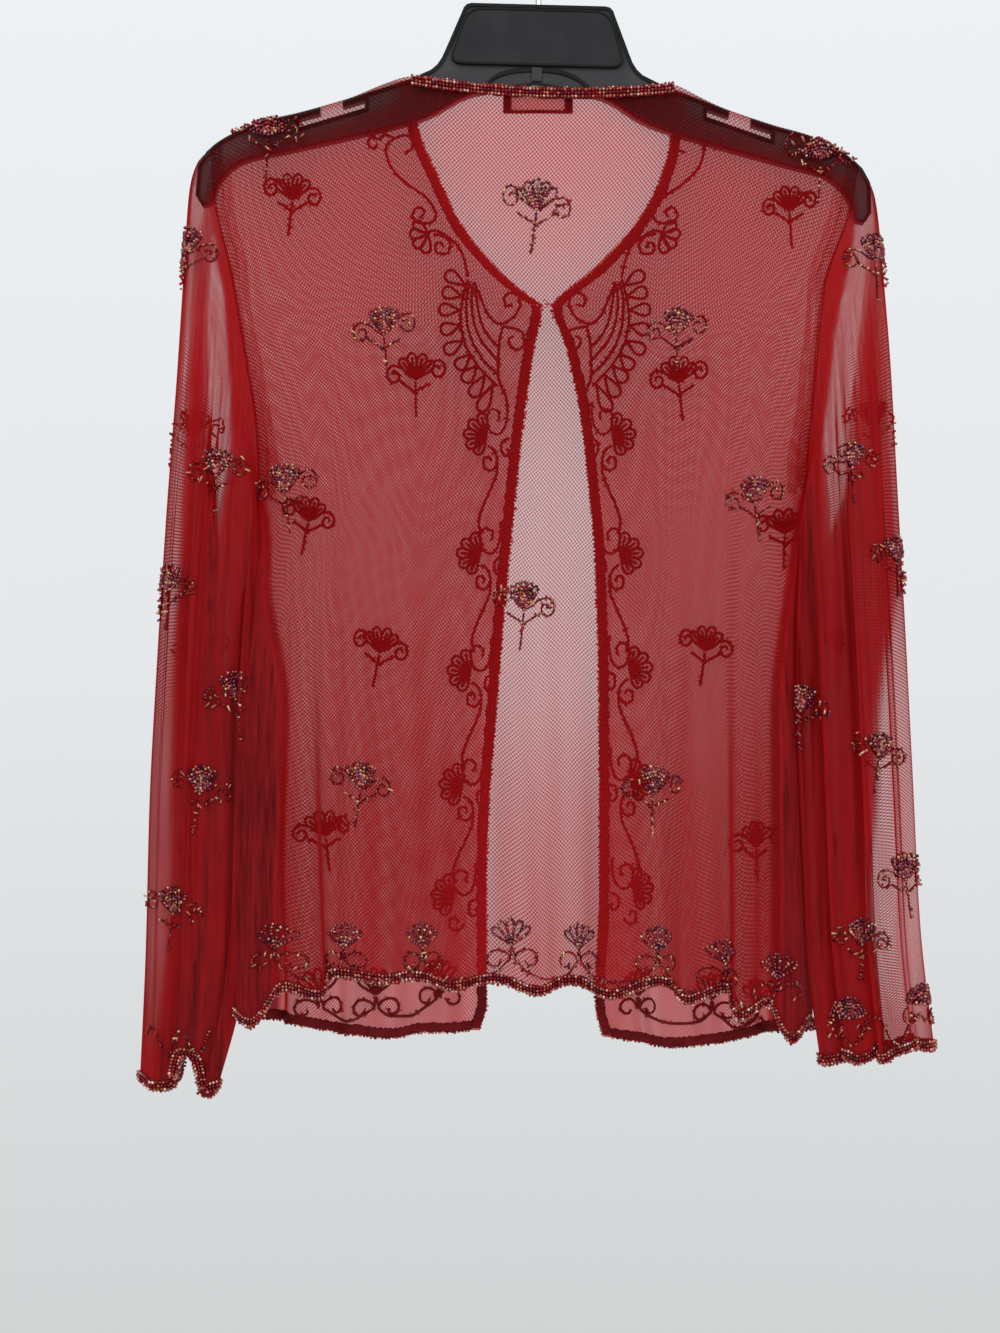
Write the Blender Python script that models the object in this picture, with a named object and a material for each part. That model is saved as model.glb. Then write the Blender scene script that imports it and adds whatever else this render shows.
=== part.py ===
"""Sheer net jacket with beaded borders, hanging on a plain plastic hanger.

Metres, +Z up. The origin is the inside top of the hanger's hook, where a rail carries it.
The jacket's back faces -Y and its fronts face +Y, so +X is the wearer's right.
"""
import math
from collections import namedtuple

import bmesh
import bpy
import numpy as np

# Walls and clearances
NET_WALL = 0.0012
BORDER_WALL = 0.0016
LABEL_WALL = 0.0008
SEAM = 0.0003
HEM_SEAM = 0.0008
SLEEVE_SEAM = 0.0007
BORDER_WIDTH = 0.0065

# Hanger
HANGER_TILT = math.radians(1.5)
HANGER_HALF_THICKNESS = 0.0040
HANGER_ROUNDING = 0.0035
HANGER_ROUNDING_STEPS = 2
ARM_REACH = 0.216
HEAD_TOP_HALF_WIDTH = 0.048
HEAD_TOP_Z = -0.060
HEAD_FOOT_HALF_WIDTH = 0.067
HEAD_FOOT_Z = -0.1025
NOTCH_START = 0.121
NOTCH_WIDTH = 0.015
NOTCH_TAPER = 0.002
NOTCH_DEPTH = 0.009

# Hook of the hanger
HOOK_WIRE_RADIUS = 0.0020
HOOK_BEND_RADIUS = 0.020
HOOK_START_ANGLE = math.radians(-62)
HOOK_END_ANGLE = math.radians(205)
HOOK_ARC_STEPS = 16
HOOK_NECK_RISE = 0.010
HOOK_NECK_STEPS = 4

# Cloth over the hanger
SHOULDER_RADIUS = 0.0052
SHOULDER_LIFT = SHOULDER_RADIUS - HANGER_HALF_THICKNESS
SHOULDER_ARC_ANGLES = (0, 32, 62, 90)
SHOULDER_TIP = 0.948
NECK_LEFT_X = -0.081
NECK_RIGHT_X = 0.083
NECK_SAG = 0.002
NECK_EASE = 0.018

# Folds and sides of the body
SIDE_SHARPNESS = 16
FLAT_SIDE = (NET_WALL + SEAM) / 2 / SHOULDER_RADIUS
UNDERARM_Z = -0.366

# Label inside the back neck
LABEL_LEFT_X = -0.024
LABEL_RIGHT_X = 0.020
LABEL_TOP_Z = -0.1145
LABEL_BOTTOM_Z = -0.1290
LABEL_CELLS = 4

# Fastener at the point of the V neck
CLOSURE_Z = -0.247
CLOSURE_WIRE_RADIUS = 0.0004
EYE_HALF_HEIGHT = 0.0025
EYE_REACH = 0.0036
CLOSURE_BEND_RADIUS = 0.0013
CLOSURE_BEND_STEPS = 6
CLOSURE_TAIL = 0.0027
CLOSURE_BEND_X = 0.0031

# Width of a border along a leaning edge: step of the lean's measure, and its limit where the V neck turns
EDGE_PROBE = 0.02
SLANT_LIMIT = 1.9

# Mesh density
BACK_COLUMNS = 54
FRONT_COLUMNS = 22
YOKE_ROWS = 5
SKIRT_ROWS = 7
BORDER_COLUMNS = 3
SLEEVE_HALF_POINTS = 21
SLEEVE_CAP_RINGS = (0.0, 0.03, 0.075)
SLEEVE_RINGS = 10
NECK_BAND_COLUMNS = 17
WIRE_ROUNDNESS = 2
PATCH_SETTLES = 4

Point = namedtuple("Point", "x z")
Depth = namedtuple("Depth", "z back front")
Opening = namedtuple("Opening", "z share")
Fold = namedtuple("Fold", "x width depth dip start")
Station = namedtuple("Station", "share outer_x outer_z inner_x inner_z depth pleat")
Lobe = namedtuple("Lobe", "place width drop")
Sleeve = namedtuple("Sleeve", "stations lobes back_pleats back_phase front_pleats front_phase")

# Hanger arm, centre line outwards: top edge and underside, before the hanger is tilted
ARM_TOP = (
    Point(0.080, -0.1090),
    Point(0.121, -0.1235),
    Point(0.150, -0.1325),
    Point(0.175, -0.1390),
    Point(0.190, -0.1460),
    Point(0.205, -0.1560),
    Point(0.2125, -0.1680),
    Point(0.2135, -0.1860),
)
ARM_UNDERSIDE = (
    Point(0.2090, -0.1930),
    Point(0.2030, -0.1910),
    Point(0.1990, -0.1790),
    Point(0.185, -0.1650),
    Point(0.155, -0.1570),
    Point(0.115, -0.1470),
    Point(0.070, -0.1340),
    Point(0.040, -0.1165),
    Point(0.000, -0.1055),
)

# Armhole below the shoulder tip, then the side seam down to the hem
LEFT_SIDE = (
    Point(-0.2076, -0.176),
    Point(-0.1956, -0.233),
    Point(-0.1870, -0.284),
    Point(-0.1805, -0.328),
    Point(-0.1790, UNDERARM_Z),
    Point(-0.1805, -0.395),
    Point(-0.1905, -0.440),
    Point(-0.1990, -0.500),
    Point(-0.2010, -0.600),
    Point(-0.1990, -0.700),
)
RIGHT_SIDE = (
    Point(0.1960, -0.188),
    Point(0.1790, -0.240),
    Point(0.1725, -0.309),
    Point(0.1680, UNDERARM_Z),
    Point(0.1655, -0.461),
    Point(0.1680, -0.537),
    Point(0.1710, -0.640),
    Point(0.1720, -0.708),
)

# V neck from the shoulder to the fastener, then the opening down to the hem
LEFT_OPENING = (
    Point(-0.0785, -0.133),
    Point(-0.0640, -0.169),
    Point(-0.0500, -0.197),
    Point(-0.0280, -0.223),
    Point(-0.0050, -0.243),
    Point(0.0006, CLOSURE_Z),
    Point(-0.0038, -0.271),
    Point(-0.0090, -0.304),
    Point(-0.0167, -0.371),
    Point(-0.0260, -0.473),
    Point(-0.0348, -0.613),
    Point(-0.0345, -0.690),
    Point(-0.0390, -0.708),
)
RIGHT_OPENING = (
    Point(0.0825, -0.141),
    Point(0.0757, -0.1675),
    Point(0.0610, -0.194),
    Point(0.0360, -0.221),
    Point(0.0120, -0.241),
    Point(0.0073, CLOSURE_Z),
    Point(0.0163, -0.273),
    Point(0.0250, -0.313),
    Point(0.0304, -0.357),
    Point(0.0348, -0.405),
    Point(0.0375, -0.500),
    Point(0.0378, -0.613),
    Point(0.0352, -0.690),
    Point(0.0400, -0.711),
)

# How far each layer stands off the hanger's plane, beyond the shoulder radius
DEPTHS = (
    Depth(-0.105, 0.000, 0.000),
    Depth(-0.200, 0.003, 0.003),
    Depth(-0.290, 0.007, 0.006),
    Depth(UNDERARM_Z, 0.010, 0.010),
    Depth(-0.500, 0.012, 0.013),
    Depth(-0.720, 0.013, 0.015),
)

# Share of the shoulder radius that the armhole and side seam keep
ARMHOLE_OPENINGS = (
    Opening(-0.140, 1.0),
    Opening(-0.200, 1.15),
    Opening(-0.270, 1.25),
    Opening(-0.330, 0.75),
    Opening(UNDERARM_Z, FLAT_SIDE),
    Opening(-0.720, FLAT_SIDE),
)

# Hanging folds, placed along the hem; dip is how much lower the hem hangs there
BACK_FOLDS = (
    Fold(-0.187, 0.0090, 0.0130, 0.018, 0.42),
    Fold(-0.152, 0.0130, 0.0075, 0.013, 0.50),
    Fold(-0.101, 0.0150, 0.0050, 0.003, 0.62),
    Fold(-0.053, 0.0150, 0.0055, 0.006, 0.66),
    Fold(-0.006, 0.0150, 0.0065, 0.010, 0.66),
    Fold(0.046, 0.0170, 0.0060, 0.009, 0.60),
    Fold(0.099, 0.0130, 0.0070, 0.015, 0.52),
    Fold(0.131, 0.0080, 0.0120, 0.022, 0.40),
    Fold(0.159, 0.0080, 0.0150, 0.024, 0.34),
)
LEFT_FRONT_FOLDS = (
    Fold(-0.178, 0.0090, 0.0110, 0.000, 0.42),
    Fold(-0.140, 0.0120, 0.0080, 0.006, 0.48),
    Fold(-0.100, 0.0160, 0.0050, 0.008, 0.55),
    Fold(-0.060, 0.0120, 0.0045, 0.005, 0.60),
)
RIGHT_FRONT_FOLDS = (
    Fold(0.152, 0.0090, 0.0120, 0.003, 0.42),
    Fold(0.120, 0.0110, 0.0080, 0.008, 0.50),
    Fold(0.084, 0.0150, 0.0050, 0.008, 0.58),
    Fold(0.056, 0.0110, 0.0040, 0.004, 0.62),
)
BACK_HEM_RISE = 0.026
FRONT_HEM_DROP = 0.003

# Sleeves below the armhole: outer and inner line, half depth of the tube, share of it that the pleats take
LEFT_SLEEVE = Sleeve(
    stations=(
        Station(0.030, -0.2183, -0.1590, -0.1815, -0.3740, 0.0075, 0.00),
        Station(0.075, -0.2228, -0.1740, -0.1836, -0.3860, 0.0100, 0.00),
        Station(0.160, -0.2262, -0.2200, -0.1870, -0.4120, 0.0150, 0.20),
        Station(0.270, -0.2310, -0.2950, -0.1930, -0.4500, 0.0200, 0.50),
        Station(0.400, -0.2370, -0.3750, -0.1975, -0.4980, 0.0230, 0.66),
        Station(0.550, -0.2430, -0.4700, -0.1985, -0.5600, 0.0240, 0.70),
        Station(0.700, -0.2480, -0.5650, -0.1985, -0.6200, 0.0250, 0.68),
        Station(0.850, -0.2503, -0.6550, -0.1975, -0.6800, 0.0260, 0.60),
        Station(1.000, -0.2540, -0.7380, -0.1990, -0.7400, 0.0290, 0.46),
    ),
    lobes=(Lobe(0.16, 0.16, 0.005), Lobe(0.58, 0.20, -0.005), Lobe(0.92, 0.15, 0.004)),
    back_pleats=2.5,
    back_phase=0.10,
    front_pleats=2.5,
    front_phase=0.55,
)
RIGHT_SLEEVE = Sleeve(
    stations=(
        Station(0.030, 0.2068, -0.1680, 0.1700, -0.3740, 0.0075, 0.00),
        Station(0.075, 0.2122, -0.1820, 0.1698, -0.3860, 0.0100, 0.00),
        Station(0.160, 0.2162, -0.2200, 0.1692, -0.4120, 0.0150, 0.20),
        Station(0.270, 0.2215, -0.2850, 0.1660, -0.4500, 0.0200, 0.50),
        Station(0.400, 0.2258, -0.3650, 0.1650, -0.4980, 0.0240, 0.68),
        Station(0.550, 0.2310, -0.4600, 0.1665, -0.5600, 0.0250, 0.70),
        Station(0.700, 0.2355, -0.5500, 0.1685, -0.6200, 0.0260, 0.68),
        Station(0.850, 0.2400, -0.6400, 0.1695, -0.6750, 0.0270, 0.62),
        Station(1.000, 0.2490, -0.7200, 0.1720, -0.7220, 0.0300, 0.52),
    ),
    lobes=(Lobe(0.12, 0.14, 0.003), Lobe(0.55, 0.20, 0.004), Lobe(0.92, 0.10, 0.004)),
    back_pleats=3.2,
    back_phase=0.30,
    front_pleats=3.0,
    front_phase=0.80,
)
SLEEVE_NOSE = 0.006
SLEEVE_INNER_NOSE = 0.004
INNER_FORWARD = 0.012
FORWARD_FROM = 0.10
FORWARD_FULL = 0.36
SLEEVE_BLEND_END = 0.16
SLEEVE_CROWDING = 1.9
SLEEVE_EVEN_FROM = 0.5
NOSE_SHARPNESS = 4
SLEEVE_BOW_POWER = 3
PLEAT_FLATNESS = 0.9

# Finishes: base colour, roughness, metallic
NET_RED = ((0.42, 0.018, 0.022), 0.75, 0.0)
BORDER_RED = ((0.22, 0.010, 0.012), 0.45, 0.1)
LABEL_RED = ((0.30, 0.030, 0.035), 0.7, 0.0)
HANGER_BLACK = ((0.030, 0.030, 0.033), 0.35, 0.0)
BRIGHT_WIRE = ((0.62, 0.61, 0.60), 0.25, 1.0)


def smooth(at, places, values):
    """Curve through a table of values over rising places, flat at its peaks."""
    at, places, values = (np.asarray(part, float) for part in (at, places, values))
    step = np.diff(places)
    rise = np.diff(values) / step
    before, after = rise[:-1], rise[1:]
    same_way = before * after > 0
    total = np.where(same_way, before + after, 1.0)
    middle = np.where(same_way, 2 * before * after / total, 0.0)
    slope = np.concatenate((rise[:1], middle, rise[-1:]))
    cell = np.clip(np.searchsorted(places, at, side="right") - 1, 0, len(step) - 1)
    t = (at - places[cell]) / step[cell]
    start = (1 + 2 * t) * (1 - t) ** 2 * values[cell] + t * (1 - t) ** 2 * step[cell] * slope[cell]
    end = t * t * (3 - 2 * t) * values[cell + 1] - t * t * (1 - t) * step[cell] * slope[cell + 1]
    return start + end


def column(rows, name):
    """One named column of a table."""
    return [getattr(row, name) for row in rows]


def at_height(z, rows, name):
    """A table's column read at height z, its rows running downwards."""
    return smooth(-np.asarray(z), [-row.z for row in rows], column(rows, name))


def ramp(t):
    """Eased step from 0 to 1."""
    t = np.clip(t, 0.0, 1.0)
    return t * t * (3 - 2 * t)


def mix(a, b, t):
    return a + (b - a) * t


def tilted(x, z):
    """A point of the level hanger after it swings about its hook."""
    cos, sin = math.cos(HANGER_TILT), math.sin(HANGER_TILT)
    return x * cos + z * sin, z * cos - x * sin


def shoulder_line():
    """Tops of both hanger arms from left to right, with the cloth's lift added."""
    mirrored = [Point(-row.x, row.z) for row in reversed(ARM_TOP[:-1])]
    turned = [Point(*tilted(row.x, row.z)) for row in mirrored + list(ARM_TOP[:-1])]
    return [Point(row.x, row.z + SHOULDER_LIFT) for row in turned]


SHOULDER_LINE = shoulder_line()


def shoulder_z(x):
    return smooth(x, column(SHOULDER_LINE, "x"), column(SHOULDER_LINE, "z"))


def arm_top_z(x):
    """Top edge of the level hanger's right arm."""
    return float(smooth(x, column(ARM_TOP, "x"), column(ARM_TOP, "z")))


def shoulder_tip(side):
    """Where shoulder seam and armhole meet, on the left (-1) or the right (+1)."""
    reach = ARM_REACH * SHOULDER_TIP
    x, _ = tilted(side * reach, arm_top_z(reach))
    return Point(x, float(shoulder_z(x)))


def neck_point(x):
    return Point(x, float(shoulder_z(x)))


LEFT_EDGE = (shoulder_tip(-1),) + LEFT_SIDE
RIGHT_EDGE = (shoulder_tip(1),) + RIGHT_SIDE
LEFT_FRONT_EDGE = (neck_point(NECK_LEFT_X),) + LEFT_OPENING
RIGHT_FRONT_EDGE = (neck_point(NECK_RIGHT_X),) + RIGHT_OPENING


def back_top_z(x):
    """Top edge of the back: shoulder, back neck, shoulder."""
    left, right = neck_point(NECK_LEFT_X), neck_point(NECK_RIGHT_X)
    share = (x - left.x) / (right.x - left.x)
    neck = mix(left.z, right.z, share) - NECK_SAG * 4 * share * (1 - share)
    return np.where((share > 0) & (share < 1), neck, shoulder_z(x))


def neck_spread(x):
    """1 beside the hanger's head, easing to 0 along the shoulder seams."""
    outside = np.maximum(NECK_LEFT_X - x, x - NECK_RIGHT_X)
    return ramp(1 - outside / NECK_EASE)


def shoulder_arc(drop):
    """Stand-off of the cloth as it rounds the top of a hanger arm."""
    left = SHOULDER_RADIUS - np.clip(drop, 0.0, SHOULDER_RADIUS)
    return np.maximum(SEAM / 2, np.sqrt(SHOULDER_RADIUS ** 2 - left ** 2))


class Panel:
    """Cloth panel: u runs from its first edge to its second, v from its top edge to its hem."""

    def __init__(self, face, first, second, top_z, neck_share, folds, hem_rise, side_share):
        self.face = face
        self.first, self.second = first, second
        self.top_z = top_z
        self.neck_share = neck_share
        self.folds = folds
        self.hem_rise = hem_rise
        self.side_share = side_share

    def edge(self, rows, v):
        z = mix(rows[0].z, rows[-1].z, v)
        return at_height(z, rows, "x"), z

    def hem_x(self, u):
        return mix(self.first[-1].x, self.second[-1].x, u)

    def hem_z(self, u):
        x = self.hem_x(u)
        dips = sum(fold.dip * np.exp(-((x - fold.x) / fold.width) ** 2) for fold in self.folds)
        corners = mix(self.first[-1].z, self.second[-1].z, u)
        return corners + (self.hem_rise - dips) * self.side_share(u)

    def top(self, u):
        return self.top_z(mix(self.first[0].x, self.second[0].x, u))

    def height(self, u):
        return self.top(u) - self.hem_z(u)

    def point(self, u, v):
        u, v = np.broadcast_arrays(np.asarray(u, float), np.asarray(v, float))
        first_x, first_z = self.edge(self.first, v)
        second_x, second_z = self.edge(self.second, v)
        x = mix(first_x, second_x, u)
        top_error = self.top(u) - mix(self.first[0].z, self.second[0].z, u)
        hem_error = self.hem_z(u) - mix(self.first[-1].z, self.second[-1].z, u)
        z = mix(first_z, second_z, u) + (1 - v) * top_error + v * hem_error
        side = self.side_share(u)
        shoulder = mix(shoulder_arc(self.top(u) - z), SHOULDER_RADIUS, self.neck_share(x))
        open_share = mix(at_height(z, ARMHOLE_OPENINGS, "share"), 1.0, side)
        layer = "back" if self.face < 0 else "front"
        depth = shoulder * open_share + at_height(z, DEPTHS, layer) * side
        for fold in self.folds:
            swell = np.exp(-((self.hem_x(u) - fold.x) / fold.width) ** 2)
            depth = depth + fold.depth * swell * side * ramp((v - fold.start) / (1 - fold.start))
        return np.stack((x, self.face * depth, z), axis=-1)

    def shoulder_drops(self):
        return [SHOULDER_RADIUS * (1 - math.cos(math.radians(angle))) for angle in SHOULDER_ARC_ANGLES]

    def rows(self, u, end_gap):
        """v values down one column: round the shoulder, through the yoke, then the skirt."""
        height = self.height(u)
        arc = np.array(self.shoulder_drops()) / height
        closure = (self.top(u) - CLOSURE_Z) / height
        yoke = np.linspace(arc[-1], closure, YOKE_ROWS + 1)[1:]
        skirt = np.linspace(closure, 1 - end_gap / height, SKIRT_ROWS + 1)[1:]
        return np.concatenate((arc, yoke, skirt))


class Front(Panel):
    """A front: its first edge is the armhole and side seam, its second the V neck and opening."""

    def row_levels(self, end_gap):
        span = self.second[0].z - self.second[-1].z
        arc = np.array(self.shoulder_drops()) / span
        closure = (self.second[0].z - CLOSURE_Z) / span
        yoke = np.linspace(arc[-1], closure, YOKE_ROWS + 1)[1:]
        skirt = np.linspace(closure, 1 - end_gap / span, SKIRT_ROWS + 1)[1:]
        return np.concatenate((arc, yoke, skirt))

    def closure_point(self):
        """Where the neck edge meets the opening edge."""
        span = self.second[0].z - self.second[-1].z
        return self.point(1.0, (self.second[0].z - CLOSURE_Z) / span)

    def u_from_edge(self, v, distance):
        """u at a distance in from the neck or opening edge."""
        first_x, _ = self.edge(self.first, v)
        second_x, _ = self.edge(self.second, v)
        above, _ = self.edge(self.second, np.clip(v - EDGE_PROBE, 0, 1))
        below, _ = self.edge(self.second, np.clip(v + EDGE_PROBE, 0, 1))
        span = self.second[0].z - self.second[-1].z
        lean = (below - above) / (2 * EDGE_PROBE * span)
        slant = np.minimum(np.sqrt(1 + lean ** 2), SLANT_LIMIT)
        return 1 - distance * slant / np.abs(second_x - first_x)


def both_sides(u):
    return 1 - np.abs(2 * np.asarray(u) - 1) ** SIDE_SHARPNESS


def seam_side(u):
    return 1 - np.abs(1 - np.asarray(u)) ** SIDE_SHARPNESS


BACK = Panel(-1, LEFT_EDGE, RIGHT_EDGE, back_top_z, neck_spread, BACK_FOLDS, BACK_HEM_RISE, both_sides)
LEFT_FRONT = Front(
    1, LEFT_EDGE, LEFT_FRONT_EDGE, shoulder_z, neck_spread, LEFT_FRONT_FOLDS, -FRONT_HEM_DROP, seam_side
)
RIGHT_FRONT = Front(
    1, RIGHT_EDGE, RIGHT_FRONT_EDGE, shoulder_z, neck_spread, RIGHT_FRONT_FOLDS, -FRONT_HEM_DROP, seam_side
)


def sleeve_grid(sleeve, edge, back_rim, front_rim, starts):
    """Rings of a sleeve from the armhole to the cuff, for rising shares t of its length."""
    underarm_x = float(at_height(UNDERARM_Z, edge, "x"))
    armhole = Station(0.0, edge[0].x, edge[0].z, underarm_x, UNDERARM_Z, SHOULDER_RADIUS, 0.0)
    stations = (armhole,) + sleeve.stations
    t = np.asarray(starts)[:, None]
    even = np.linspace(0, 1, SLEEVE_HALF_POINTS)[None, :]
    w = mix(even ** SLEEVE_CROWDING, even, ramp(t / SLEEVE_EVEN_FROM))

    def station(name):
        return smooth(t, column(stations, "share"), column(stations, name))

    hole_z = mix(edge[0].z, UNDERARM_Z, w)
    bow = (1 - t) ** SLEEVE_BOW_POWER
    outwards = math.copysign(SLEEVE_SEAM, edge[0].x)
    chord_x = mix(edge[0].x, underarm_x, w) - outwards
    line_x = mix(station("outer_x"), station("inner_x"), w)
    lobes = sum(lobe.drop * np.exp(-((w - lobe.place) / lobe.width) ** 2) for lobe in sleeve.lobes)
    z = mix(station("outer_z"), station("inner_z"), w) - lobes * t ** SLEEVE_BOW_POWER
    length = np.hypot(station("outer_x") - station("inner_x"), station("outer_z") - station("inner_z"))
    depth = station("depth")
    outer_nose = np.maximum(SLEEVE_NOSE, 2 * depth ** 2 / length)

    def rounding(distance, nose):
        reach = np.sqrt(2 * nose * distance)
        return reach / (reach ** NOSE_SHARPNESS + depth ** NOSE_SHARPNESS) ** (1 / NOSE_SHARPNESS)

    round_depth = depth * rounding(w * length, outer_nose)
    round_depth = round_depth * rounding((1 - w) * length, SLEEVE_INNER_NOSE)
    closing = ramp((1 - w) * SLEEVE_HALF_POINTS)
    settled = ramp(t / SLEEVE_BLEND_END)
    forward = INNER_FORWARD * w ** 2 * ramp((t - FORWARD_FROM) / (FORWARD_FULL - FORWARD_FROM))

    def half(face, rim, pleats, phase):
        hole_x, hole_y = (np.interp(-hole_z, -rim[:, 2], rim[:, axis]) for axis in (0, 1))
        hole_depth = np.abs(hole_y) * closing
        x = line_x + (hole_x - chord_x) * bow
        wave = np.cos(2 * math.pi * (pleats * w + phase))
        wave = np.tanh(PLEAT_FLATNESS * wave) / math.tanh(PLEAT_FLATNESS)
        pleated = round_depth * (1 - station("pleat") * (1 + wave) / 2)
        return np.stack((x, face * mix(hole_depth, pleated, settled) - forward, z), axis=-1)

    back = half(-1, back_rim, sleeve.back_pleats, sleeve.back_phase)
    front = half(1, front_rim, sleeve.front_pleats, sleeve.front_phase)
    return np.concatenate((back, front[:, -2:0:-1]), axis=1)


def finish(name, look):
    """The piece's own material."""
    colour, roughness, metallic = look
    material = bpy.data.materials.new(name)
    material.use_nodes = True
    shader = material.node_tree.nodes["Principled BSDF"]
    shader.inputs["Base Color"].default_value = (*colour, 1.0)
    shader.inputs["Roughness"].default_value = roughness
    shader.inputs["Metallic"].default_value = metallic
    return material


def add_object(name, data, look):
    data.materials.append(finish(name, look))
    piece = bpy.data.objects.new(name, data)
    bpy.context.scene.collection.objects.link(piece)
    return piece


def cloth(name, grid, wall, look, closed=False):
    """A wall of even thickness about a grid of middle points."""
    rows, columns = grid.shape[:2]
    shape = bmesh.new()
    points = [[shape.verts.new(place) for place in row] for row in grid]
    for upper, lower in zip(points, points[1:]):
        for here in range(columns if closed else columns - 1):
            beside = (here + 1) % columns
            shape.faces.new((upper[here], lower[here], lower[beside], upper[beside]))
    bmesh.ops.recalc_face_normals(shape, faces=shape.faces)
    data = bpy.data.meshes.new(name)
    shape.to_mesh(data)
    shape.free()
    data.shade_smooth()
    piece = add_object(name, data, look)
    thicken = piece.modifiers.new("wall", "SOLIDIFY")
    thicken.thickness = wall
    thicken.offset = 0
    thicken.use_even_offset = True
    thicken.use_quality_normals = True
    return piece


def wire(name, places, radius, look):
    """Round wire along a list of points."""
    data = bpy.data.curves.new(name, "CURVE")
    data.dimensions = "3D"
    data.bevel_depth = radius
    data.bevel_resolution = WIRE_ROUNDNESS
    data.use_fill_caps = True
    path = data.splines.new("POLY")
    path.points.add(len(places) - 1)
    for point, place in zip(path.points, places):
        point.co = (*place, 1.0)
    return add_object(name, data, look)


def back_pieces():
    u = np.linspace(0, 1, BACK_COLUMNS)
    v = np.stack([BACK.rows(each, BORDER_WIDTH + HEM_SEAM) for each in u], axis=1)
    cloth("back_panel", BACK.point(u[None, :], v), NET_WALL, NET_RED)
    height = BACK.height(u)
    hem = np.stack((1 - BORDER_WIDTH / height, np.ones_like(u)))
    cloth("hem_band_back", BACK.point(u[None, :], hem), BORDER_WALL, BORDER_RED)


def moved_off(grid, distance):
    """A patch of the back moved out along Y, off the panel it lies on."""
    lifted = grid.copy()
    lifted[..., 1] += distance
    return lifted


def back_patch(x_places, z_of_rows):
    """Points of the back panel over given places, one row for each height rule."""
    u = (x_places - BACK.first[0].x) / (BACK.second[0].x - BACK.first[0].x)
    for _ in range(PATCH_SETTLES):
        v = np.stack([(BACK.top(u) - z) / BACK.height(u) for z in z_of_rows])
        u = u + (x_places - BACK.point(u, v[0])[..., 0]) / (BACK.second[0].x - BACK.first[0].x)
    return BACK.point(u[None, :], v)


def neck_pieces():
    x = np.linspace(NECK_LEFT_X, NECK_RIGHT_X, NECK_BAND_COLUMNS)
    band = back_patch(x, (back_top_z(x), back_top_z(x) - BORDER_WIDTH))
    stand_off = (NET_WALL + BORDER_WALL) / 2 + SEAM
    cloth("neck_band_back", moved_off(band, -stand_off), BORDER_WALL, BORDER_RED)
    x = np.linspace(LABEL_LEFT_X, LABEL_RIGHT_X, LABEL_CELLS + 1)
    label = back_patch(x, (np.full_like(x, LABEL_TOP_Z), np.full_like(x, LABEL_BOTTOM_Z)))
    cloth("neck_label", moved_off(label, (NET_WALL + LABEL_WALL) / 2 + SEAM), LABEL_WALL, LABEL_RED)


def front_pieces(side, front):
    levels = front.row_levels(BORDER_WIDTH + HEM_SEAM)
    inner = front.u_from_edge(levels, BORDER_WIDTH + SEAM)
    u = np.linspace(0, 1, FRONT_COLUMNS)[None, :] * inner[:, None]
    cloth(f"front_{side}", front.point(u, levels[:, None]), NET_WALL, NET_RED)

    hem_levels = np.array((1 - BORDER_WIDTH / (front.second[0].z - front.second[-1].z), 1.0))
    hem_u = np.linspace(0, 1, FRONT_COLUMNS)[None, :] * inner[-1]
    cloth(f"hem_band_{side}", front.point(hem_u, hem_levels[:, None]), BORDER_WALL, BORDER_RED)

    split = len(SHOULDER_ARC_ANGLES) + YOKE_ROWS
    neck_levels = levels[:split].copy()
    edge_levels = np.concatenate((levels[split - 1:], [1.0]))
    gap = SEAM / (front.second[0].z - front.second[-1].z)
    edge_levels[0] += gap
    for name, chosen in ((f"neck_band_{side}", neck_levels), (f"edge_band_{side}", edge_levels)):
        start = front.u_from_edge(chosen, BORDER_WIDTH)
        across = np.linspace(0, 1, BORDER_COLUMNS)[None, :]
        cloth(name, front.point(mix(start[:, None], 1.0, across), chosen[:, None]), BORDER_WALL, BORDER_RED)


def sleeve_pieces(side, sleeve, back_u, front):
    edge = front.first
    back_rim = BACK.point(back_u, BACK.rows(back_u, BORDER_WIDTH + HEM_SEAM))
    front_rim = front.point(0.0, front.row_levels(BORDER_WIDTH + HEM_SEAM))
    length = edge[0].z - sleeve.stations[-1].outer_z
    last = 1 - (BORDER_WIDTH + HEM_SEAM) / length
    rings = np.concatenate((SLEEVE_CAP_RINGS, np.linspace(SLEEVE_BLEND_END, last, SLEEVE_RINGS)))
    grid = sleeve_grid(sleeve, edge, back_rim, front_rim, rings)
    cloth(f"sleeve_{side}", grid, NET_WALL, NET_RED, closed=True)
    cuff = sleeve_grid(sleeve, edge, back_rim, front_rim, (1 - BORDER_WIDTH / length, 1.0))
    cloth(f"cuff_band_{side}", cuff, BORDER_WALL, BORDER_RED, closed=True)


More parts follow.
